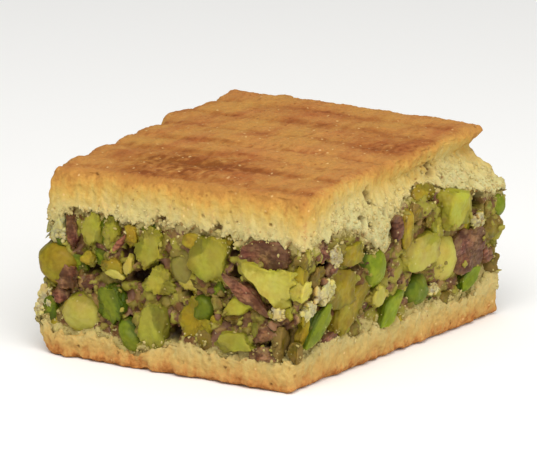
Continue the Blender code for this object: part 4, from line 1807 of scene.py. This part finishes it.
@dataclass(frozen=True)
class Kernels:
    """The pistachio pieces: those listed one by one on the two best seen sides, and the rules for the rest.
    """

    large_rule: KernelRule = KernelRule(
        rows=(8.0, 13.8, 19.6),
        pitch=6.0,
        end_room=2.8,
        jitter=1.1,
        width=(4.4, 7.2),
        tall=(4.2, 6.8),
        proud=(0.0, 0.6),
        tones=(LIME, LIME, LIME, PALE, PALE, GOLD, GOLD, LEAF, LEAF, OLIVE, SAGE, SKIN),
    )
    chip_rule: KernelRule = KernelRule(
        rows=(5.8, 8.8, 11.8, 14.8, 17.8, 20.8),
        pitch=3.3,
        end_room=1.0,
        jitter=1.3,
        width=(2.0, 4.4),
        tall=(1.6, 3.8),
        proud=(-1.5, -0.3),
        tones=(OLIVE, OLIVE, OLIVE, OLIVE, GOLD, GOLD, GOLD, LIME, SAGE, SAGE, SKIN, SKIN, LEAF, PALE),
    )
    depth_share: float = 0.92
    least_depth: float = 1.4
    crowding: float = 0.4
    inset_share: float = 0.1
    sharpness: float = 20.0
    swell: float = 0.07
    nick: float = 0.18
    play: float = 0.22
    chips_off: int = 5
    hollow_room: float = 1.3
    large_room: float = 0.75
    chip_reach: Pair = (0.74, 0.95)
    warp: float = 0.26
    warp_size: float = 0.8
    swell_size: float = 0.7
    rag_size: float = 0.24
    fine_rag_size: float = 0.11
    knife_share: float = 0.7
    bedding: float = 0.3
    crumb_grains: int = 22
    crumb_share: Pair = (0.18, 0.42)
    large_area: float = 34.0
    small_area: float = 12.0
    grain_area: float = 3.0
    seed: int = 11
    relief: Relief = Relief(1.2, 0.16, 0.5, 0.17)

    finishes: ClassVar[dict[Tone, KernelFinish]] = {
        LEAF: KernelFinish(
            "leaf_kernel", srgb(122, 132, 24), srgb(96, 108, 12), srgb(90, 104, 12), srgb(62, 76, 4),
            film_share=0.2, milk_share=0.05, edge_share=0.75,
        ),
        LIME: KernelFinish(
            "lime_kernel", srgb(162, 156, 52), srgb(142, 134, 36), srgb(124, 122, 32), srgb(104, 98, 18),
            film_share=0.15,
        ),
        PALE: KernelFinish(
            "pale_kernel", srgb(182, 170, 78), srgb(164, 150, 60), srgb(150, 142, 46), srgb(128, 118, 30),
            film_share=0.1,
        ),
        GOLD: KernelFinish(
            "golden_kernel", srgb(160, 140, 32), srgb(132, 110, 18), srgb(134, 124, 26), srgb(108, 94, 14),
            film_share=0.22, milk_share=0.08,
        ),
        OLIVE: KernelFinish(
            "olive_kernel", srgb(120, 98, 20), srgb(88, 68, 10), srgb(98, 88, 16), srgb(72, 60, 8),
            film_share=0.4,
        ),
        SAGE: KernelFinish(
            "sage_kernel", srgb(142, 134, 58), srgb(124, 114, 46), srgb(112, 112, 38), srgb(96, 94, 28),
            film_share=0.4,
        ),
        SKIN: KernelFinish(
            "purple_skin", srgb(148, 102, 70), srgb(76, 42, 24), srgb(124, 88, 62), srgb(66, 36, 20),
            film=srgb(140, 112, 74), milk=srgb(150, 120, 92), film_share=0.25, wrinkles=0.7,
        ),
        CRUMB: KernelFinish(
            "fallen_crumb", srgb(198, 186, 128), srgb(186, 168, 102), srgb(194, 164, 98), srgb(178, 150, 84),
            film_share=0.05, edge_share=0.1,
        ),
    }

    def large(self, chance: random.Random) -> list[Kernel]:
        """Return the placed pieces and the large ones of the two hidden sides."""
        hidden = [self.large_rule.kernels(side, chance) for side in (Side.BACK, Side.LEFT)]
        return [*PLACED_KERNELS, *hidden[0], *hidden[1]]

    def chips(self, large: Sequence[Kernel], chance: random.Random) -> list[Kernel]:
        """Fill the gaps on every side with small pieces.

        Args:
            large: The large pieces.
            chance: The source of the random draws.

        Returns:
            The small pieces, clear of the hollows and of the large pieces' middles.
        """
        return [
            kernel
            for side in Side
            for kernel in self.chip_rule.kernels(side, chance)
            if not any(self.covers(hollow, kernel, self.hollow_room) for hollow in HOLLOWS)
            and not any(self.covers(piece, kernel, self.large_room) for piece in large)
        ]

    @staticmethod
    def covers(thing: Dent | Kernel, kernel: Kernel, share: float) -> bool:
        """Tell whether a thing covers a small piece.

        Args:
            thing: A hollow or a large piece.
            kernel: The small piece.
            share: How much of the thing's outline counts.

        Returns:
            Whether the small piece's middle lies in that share of the outline.
        """
        across = (kernel.along - thing.along) / thing.half[0]
        upward = (kernel.height - thing.height) / thing.half[1]
        return thing.side == kernel.side and math.hypot(across, upward) < share

    def parts(self, kernel: Kernel, chance: random.Random) -> list[Kernel]:
        """Take a piece apart where it is a fallen crumb.

        Args:
            kernel: The piece.
            chance: The source of the random draws.

        Returns:
            The piece itself, or the core and the grains of a fallen crumb.
        """
        if kernel.tone is not CRUMB:
            return [kernel]
        made = [replace(kernel, width=0.95 * kernel.width, tall=0.95 * kernel.tall, proud=kernel.proud - 0.1)]
        for _ in range(self.crumb_grains):
            turn, away = chance.uniform(0.0, math.tau), 0.45 * math.sqrt(chance.random())
            size = chance.uniform(*self.crumb_share) * math.sqrt(kernel.width * kernel.tall)
            made.append(
                replace(
                    kernel,
                    along=kernel.along + kernel.width * away * math.cos(turn),
                    height=kernel.height + kernel.tall * away * math.sin(turn),
                    width=size,
                    tall=size * chance.uniform(0.7, 1.0),
                    proud=kernel.proud + chance.uniform(-0.3, 0.2),
                    tilt=chance.uniform(-60.0, 60.0),
                    outline=chance.choice((OVAL, SHARD)),
                )
            )
        return made

    def depth(self, kernel: Kernel) -> float:
        """Return how deep a piece is, from front to back."""
        return max(self.depth_share * min(kernel.width, kernel.tall), self.least_depth)

    def inset(self, kernel: Kernel) -> float:
        """Find how far a piece's middle lies behind the cut side; a whole nut wasn't cut.

        Args:
            kernel: The piece.

        Returns:
            The distance in millimetres.
        """
        whole = kernel.outline is NUT
        share, proud = (0.5, kernel.proud) if whole else (self.inset_share, min(kernel.proud, 0.0))
        return share * self.depth(kernel) - proud

    def shape(self, kernel: Kernel, directions: Array, chance: random.Random) -> Array:
        """Shape a piece from a ball by its facets, chips and torn rim.

        Args:
            kernel: The piece.
            directions: The points of a ball, one a row.
            chance: The source of the random draws.

        Returns:
            Its points round its own middle: along, outward and up, in millimetres.
        """
        half = np.array([kernel.width, self.depth(kernel), kernel.tall]) / 2.0
        facets = [
            ((math.cos(math.radians(angle)), 0.0, math.sin(math.radians(angle))), reach)
            for angle, reach in kernel.outline.value
        ]
        lean = [self.play * chance.uniform(-1.0, 1.0) for _ in range(2)]
        facets.append(((lean[0], 1.0, lean[1]), (self.inset(kernel) + kernel.proud) / half[1]))
        for _ in range(1 if kernel.outline is NUT else self.chips_off):
            facing = (chance.gauss(0.0, 1.0), chance.uniform(0.0, 1.2), chance.gauss(0.0, 1.0))
            facets.append((facing, chance.uniform(*self.chip_reach)))
        drift = chance.uniform(0.0, 50.0)
        shifts = (7.0, 17.0, 27.0)
        warp = np.column_stack([noise_at(directions, self.warp_size, drift + shift) for shift in shifts])
        seen = directions + self.warp * warp
        total = np.ones(len(directions))
        for normal, reach in facets:
            facing = np.maximum(seen @ np.array(Vector(normal).normalized()), 0.0)
            total += (facing / reach) ** self.sharpness
        radius = total ** (-1.0 / self.sharpness)
        radius = radius * (1.0 + self.swell * noise_at(directions, self.swell_size, drift))
        radius = radius * (1.0 + 0.5 * self.swell * noise_at(directions, 0.5 * self.swell_size, drift + 3.0))
        flank = 1.0 - smooth(directions[:, 1], 0.35, 0.8)
        rag = noise_at(directions, self.rag_size, drift)
        rag = rag + 0.6 * noise_at(directions, self.fine_rag_size, drift)
        radius = radius * (1.0 + self.nick * kernel.outline.raggedness * flank * rag)
        unit = directions * radius[:, None]
        for axis in (0, 2):
            unit[:, axis] /= np.max(np.abs(unit[:, axis]))
        shaped = unit * half
        shaped[:, 2] -= kernel.bend * (unit[:, 0] ** 2 - 0.4)
        return shaped

    def place(self, kernel: Kernel, shaped: Array) -> Array:
        """Put a piece in the block, cut off where the knife passed and at the crusts.

        Args:
            kernel: The piece.
            shaped: Its points round its own middle.

        Returns:
            Its points in the block.
        """
        start, along, outward = BLOCK.side_frame(kernel.side, np.array(kernel.height))
        middle = start + along * kernel.along - outward * self.inset(kernel)
        turn = math.radians(kernel.tilt)
        run = shaped[:, 0] * math.cos(turn) + shaped[:, 2] * math.sin(turn)
        rise = shaped[:, 2] * math.cos(turn) - shaped[:, 0] * math.sin(turn)
        place = middle + run[:, None] * along + shaped[:, 1:2] * outward
        points = np.column_stack([place, kernel.height + rise])
        for side in Side:
            _, behind, out = BLOCK.seen_from(side, points)
            excess = np.maximum(-behind - max(kernel.proud, 0.1), 0.0)
            points[:, :2] -= out * (excess * self.knife_share)[:, None]
        lowest = BLOCK.base_roof(points[:, :2]) - self.bedding
        highest = BLOCK.lid_floor(points[:, :2]) + kernel.overreach
        points[:, 2] = np.clip(points[:, 2], lowest, highest)
        return points

    def level(self, kernel: Kernel) -> int:
        """Choose how fine a piece is.

        Args:
            kernel: The piece.

        Returns:
            How often the ball that it is shaped from is divided.
        """
        area = kernel.width * kernel.tall
        if area > self.large_area and kernel.side in (F, R):
            return 5
        if area > self.small_area:
            return 4
        return 2 if area < self.grain_area else 3

    def build(self, relief: Shaper, large: Sequence[Kernel], chance: random.Random) -> list[Body]:
        """Return one finished piece for each tone.

        Args:
            relief: The tree that roughens a surface.
            large: The large pieces.
            chance: The source of the random draws.

        Returns:
            The pieces, each a joined mesh.
        """
        balls = {level: ball(level, self.crowding) for level in (2, 3, 4, 5)}
        batches = {tone: Batch(tone.value) for tone in Tone}
        whole = (*large, *self.chips(large, chance))
        for kernel in [part for piece in whole for part in self.parts(piece, chance)]:
            directions, faces = balls[self.level(kernel)]
            points = self.place(kernel, self.shape(kernel, directions, chance))
            edge = chance.uniform(0.0, math.tau)
            lit = directions @ np.array([math.cos(edge), -0.35, math.sin(edge)])
            rim = np.exp(-(((directions[:, 1] - 0.35) / 0.3) ** 2))
            batches[kernel.tone].add(
                points,
                faces,
                rind=smooth(lit, -0.1, 0.85),
                edge=1.0 - smooth(directions[:, 1], 0.3, 0.9),
                tint=np.full(len(points), kernel.shade + chance.uniform(-0.6, 0.6)),
                sunk=np.maximum(BLOCK.sunk(points), 0.0),
                rough=(0.3 + 1.1 * rim * kernel.outline.raggedness) * kernel.tone.raggedness,
            )
        made = []
        for tone, batch in batches.items():
            settings = self.relief.settings(self.finishes[tone].make())
            made.append(relief.apply(batch.make(), settings))
        return made


@dataclass(frozen=True)
class Crumbs:
    """Everything too small to place: grains of nut, skin and crust on the cut sides."""

    nut_grains: Grains = Grains(0.2, 0.45, 1.5, 0.6, 1.2, 2.6, 3, 2)
    skin_flakes: Grains = Grains(0.05, 0.8, 2.2, 0.35, 0.9, 2.8, 4, 2)
    pale_grains: Grains = Grains(1.9, 0.22, 0.75, 0.7, 1.5, 2.4, 5)
    crust_grains: Grains = Grains(1.8, 0.3, 0.9, 0.6, 1.2, 2.4, 6)
    nut_finish: CrumbFinish = CrumbFinish("nut_grain", srgb(150, 140, 52), srgb(104, 84, 34), 0.5)
    skin_finish: CrumbFinish = CrumbFinish("skin_flake", srgb(128, 92, 62), srgb(80, 48, 28), 0.5)
    pale_finish: CrumbFinish = CrumbFinish("pale_crumb", srgb(186, 170, 110), srgb(152, 136, 74))
    crust_finish: CrumbFinish = CrumbFinish("crust_crumb", srgb(192, 176, 120), srgb(174, 156, 98))
    hem_reach: float = 1.7
    open_share: float = 0.07
    rim_share: float = 0.5

    def ground(self, paste: Body, kernels: Sequence[Body]) -> tuple[Body, Array, Array, Array]:
        """Join the surfaces that the crumbs of the filling lie on.

        Args:
            paste: The filling's paste.
            kernels: The pistachio pieces.

        Returns:
            A body for use while scattering, and how thick nut, skin and crust crumbs lie at its points.
        """
        batch = Batch("ground")
        nut, skin, crust = [], [], []
        for host in (paste, *kernels):
            points = points_of(host)
            shown = (1.0 - smooth(BLOCK.sunk(points), 1.8, 2.4)) * (BLOCK.inside_filling(points) > -0.2)
            if host is not paste:
                shown = shown * smooth(values_of(host, "edge"), 0.7, 0.95)
            hem = BLOCK.hem(points, self.hem_reach)
            patch = smooth(noise_at(points, 3.0, 31.0), -0.3, 0.35)
            nut.append(shown * patch * (1.0 - hem))
            skin.append(nut[-1] * (host is paste))
            crust.append(shown * (self.open_share * patch + hem) * (1.0 if host is paste else self.rim_share))
            faces = [list(face.vertices) for face in host.data.polygons]
            batch.add(points, faces)
        return batch.make(), np.concatenate(nut), np.concatenate(skin), np.concatenate(crust)

    def build(
        self,
        scatter: Shaper,
        paste: Body,
        kernels: Sequence[Body],
        crusts: Sequence[Body],
    ) -> list[Body]:
        """Return the scattered pieces.

        Args:
            scatter: The tree that scatters grains.
            paste: The filling's paste, on which the first three kinds lie.
            kernels: The pistachio pieces, at whose rims they lie too.
            crusts: The crusts, on whose cut sides the last kind lies.

        Returns:
            One piece for each kind, and one a crust for the last.
        """
        ground, nut, skin, crust_share = self.ground(paste, kernels)
        kinds = (
            ("nut_grains", nut, self.nut_grains, self.nut_finish),
            ("skin_flakes", skin, self.skin_flakes, self.skin_finish),
            ("pale_crumbs", crust_share, self.pale_grains, self.pale_finish),
        )
        made = []
        for name, spread, grains, finish in kinds:
            put_values(ground, "spread", spread)
            made.append(scattered(name, ground, scatter, grains, finish))
        bpy.data.objects.remove(ground)
        for name, crust in zip(("top_crust_crumbs", "bottom_crust_crumbs"), crusts):
            low = smooth(values_of(crust, "depth"), 4.2, 6.4)
            put_values(crust, "spread", low * smooth(-BLOCK.sunk(points_of(crust)), -1.0, -0.6))
            made.append(scattered(name, crust, scatter, self.crust_grains, self.crust_finish))
        return made


# ---- floor, light and camera


@dataclass(frozen=True)
class Lamp:
    """A square soft light that faces the block, placed in degrees and metres, with its watts and colour."""

    name: str
    azimuth: float
    elevation: float
    away: float
    size: float
    power: float
    colour: Triple


@dataclass(frozen=True)
class Studio:
    """A plain pale floor, soft lights and the camera, in metres and degrees."""

    lamps: tuple[Lamp, ...] = (
        Lamp("key_light", 24.0, 52.0, 0.7, 0.5, 3.9, (1.0, 0.98, 0.95)),
        Lamp("fill_light", 75.0, 32.0, 0.8, 0.6, 2.4, (1.0, 0.99, 0.97)),
    )
    world_strength: float = 0.52
    floor_size: float = 4.0
    azimuth: float = 31.0
    elevation: float = 14.4
    distance: float = 0.625
    sensor: float = 36.0
    frame_width: int = 537
    pixels_at_distance: float = 4000.0
    middle: Triple = (-0.0011, 0.0, 0.015)
    shift_right: float = -0.5
    shift_up: float = 7.0

    def direction(self, azimuth: float, elevation: float) -> Vector:
        """Return the direction from the object to a place round it; azimuth 0 is straight in front."""
        across, up = math.radians(azimuth), math.radians(elevation)
        return Vector((math.sin(across) * math.cos(up), -math.cos(across) * math.cos(up), math.sin(up)))

    def build(self) -> None:
        """Make the floor, the lights, the world and the camera."""
        self.make_floor()
        for lamp in self.lamps:
            self.hang(lamp)
        self.make_world()
        self.make_camera()

    def make_floor(self) -> None:
        """Make the floor, just under the block."""
        half = self.floor_size / 2.0
        mesh = bpy.data.meshes.new("floor")
        corners = [(-half, -half, 0.0), (half, -half, 0.0), (half, half, 0.0), (-half, half, 0.0)]
        mesh.from_pydata(corners, [], [(0, 1, 2, 3)])
        surface = Surface("pale_floor", Metallic=0.0)
        cloud = surface.noise(0.4, 1.0)
        colour = surface.mix(cloud, srgb(246, 246, 244), srgb(250, 250, 249))
        mesh.materials.append(surface.finish(colour, cloud * 0.1 + 0.7, cloud, 0.0))
        floor = linked("floor", mesh)

    def hang(self, lamp: Lamp) -> None:
        """Hang a light.

        Args:
            lamp: The light.
        """
        data = bpy.data.lights.new(lamp.name, "AREA")
        data.size = lamp.size
        data.energy = lamp.power
        data.color = lamp.colour
        light = linked(lamp.name, data)
        towards = self.direction(lamp.azimuth, lamp.elevation)
        light.location = Vector(self.middle) + towards * lamp.away
        light.rotation_euler = towards.to_track_quat("Z", "Y").to_euler()

    def make_world(self) -> None:
        """Surround everything with even white light."""
        world = bpy.data.worlds.new("soft_white")
        world.use_nodes = True
        background = world.node_tree.nodes["Background"]
        background.inputs["Color"].default_value = (1.0, 1.0, 1.0, 1.0)
        background.inputs["Strength"].default_value = self.world_strength
        bpy.context.scene.world = world
        bpy.context.scene.view_settings.view_transform = "Standard"

    def make_camera(self) -> None:
        """Set up the long-lensed camera at the photograph's angle."""
        back = self.direction(self.azimuth, self.elevation)
        right = Vector((math.cos(math.radians(self.azimuth)), math.sin(math.radians(self.azimuth)), 0.0))
        up = back.cross(right)
        pixel = self.distance / self.pixels_at_distance
        target = Vector(self.middle) + up * self.shift_up * pixel + right * self.shift_right * pixel
        data = bpy.data.cameras.new("camera")
        data.sensor_width = self.sensor
        data.lens = self.sensor * self.pixels_at_distance / self.frame_width
        data.clip_start = 0.01
        camera = linked("camera", data)
        camera.location = target + back * self.distance
        camera.rotation_euler = Matrix((right, up, back)).transposed().to_euler()
        bpy.context.scene.camera = camera


# ---- putting it together


def settle(piece: Body, node: str) -> None:
    """Let a piece ride on the block, hide the solid that it stands for, and report it.

    Args:
        piece: The piece.
        node: The solid that it stands for.
    """
    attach(piece, "root")
    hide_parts(node)
    LOG.info("%s: %d faces", piece.name, len(piece.data.polygons))


def main() -> None:
    """Build the block's pieces in order, then the studio."""
    logging.basicConfig(level=logging.INFO, format="%(name)s: %(message)s")
    relief, scatter = relief_tree(), scatter_tree()
    top = TopCrust().build(relief)
    bottom = BottomCrust().build(relief)
    rules = Kernels()
    chance = random.Random(rules.seed)
    large = rules.large(chance)
    paste = Paste().build(relief, large)
    kernels = rules.build(relief, large, chance)
    *filling_crumbs, top_crumbs, bottom_crumbs = Crumbs().build(scatter, paste, kernels, (top, bottom))
    for piece in (top, top_crumbs):
        settle(piece, "top_crust")
    for piece in (bottom, bottom_crumbs):
        settle(piece, "bottom_crust")
    for piece in (paste, *kernels, *filling_crumbs):
        settle(piece, "filling")
    Studio().build()


if __name__ == "__main__":
    main()
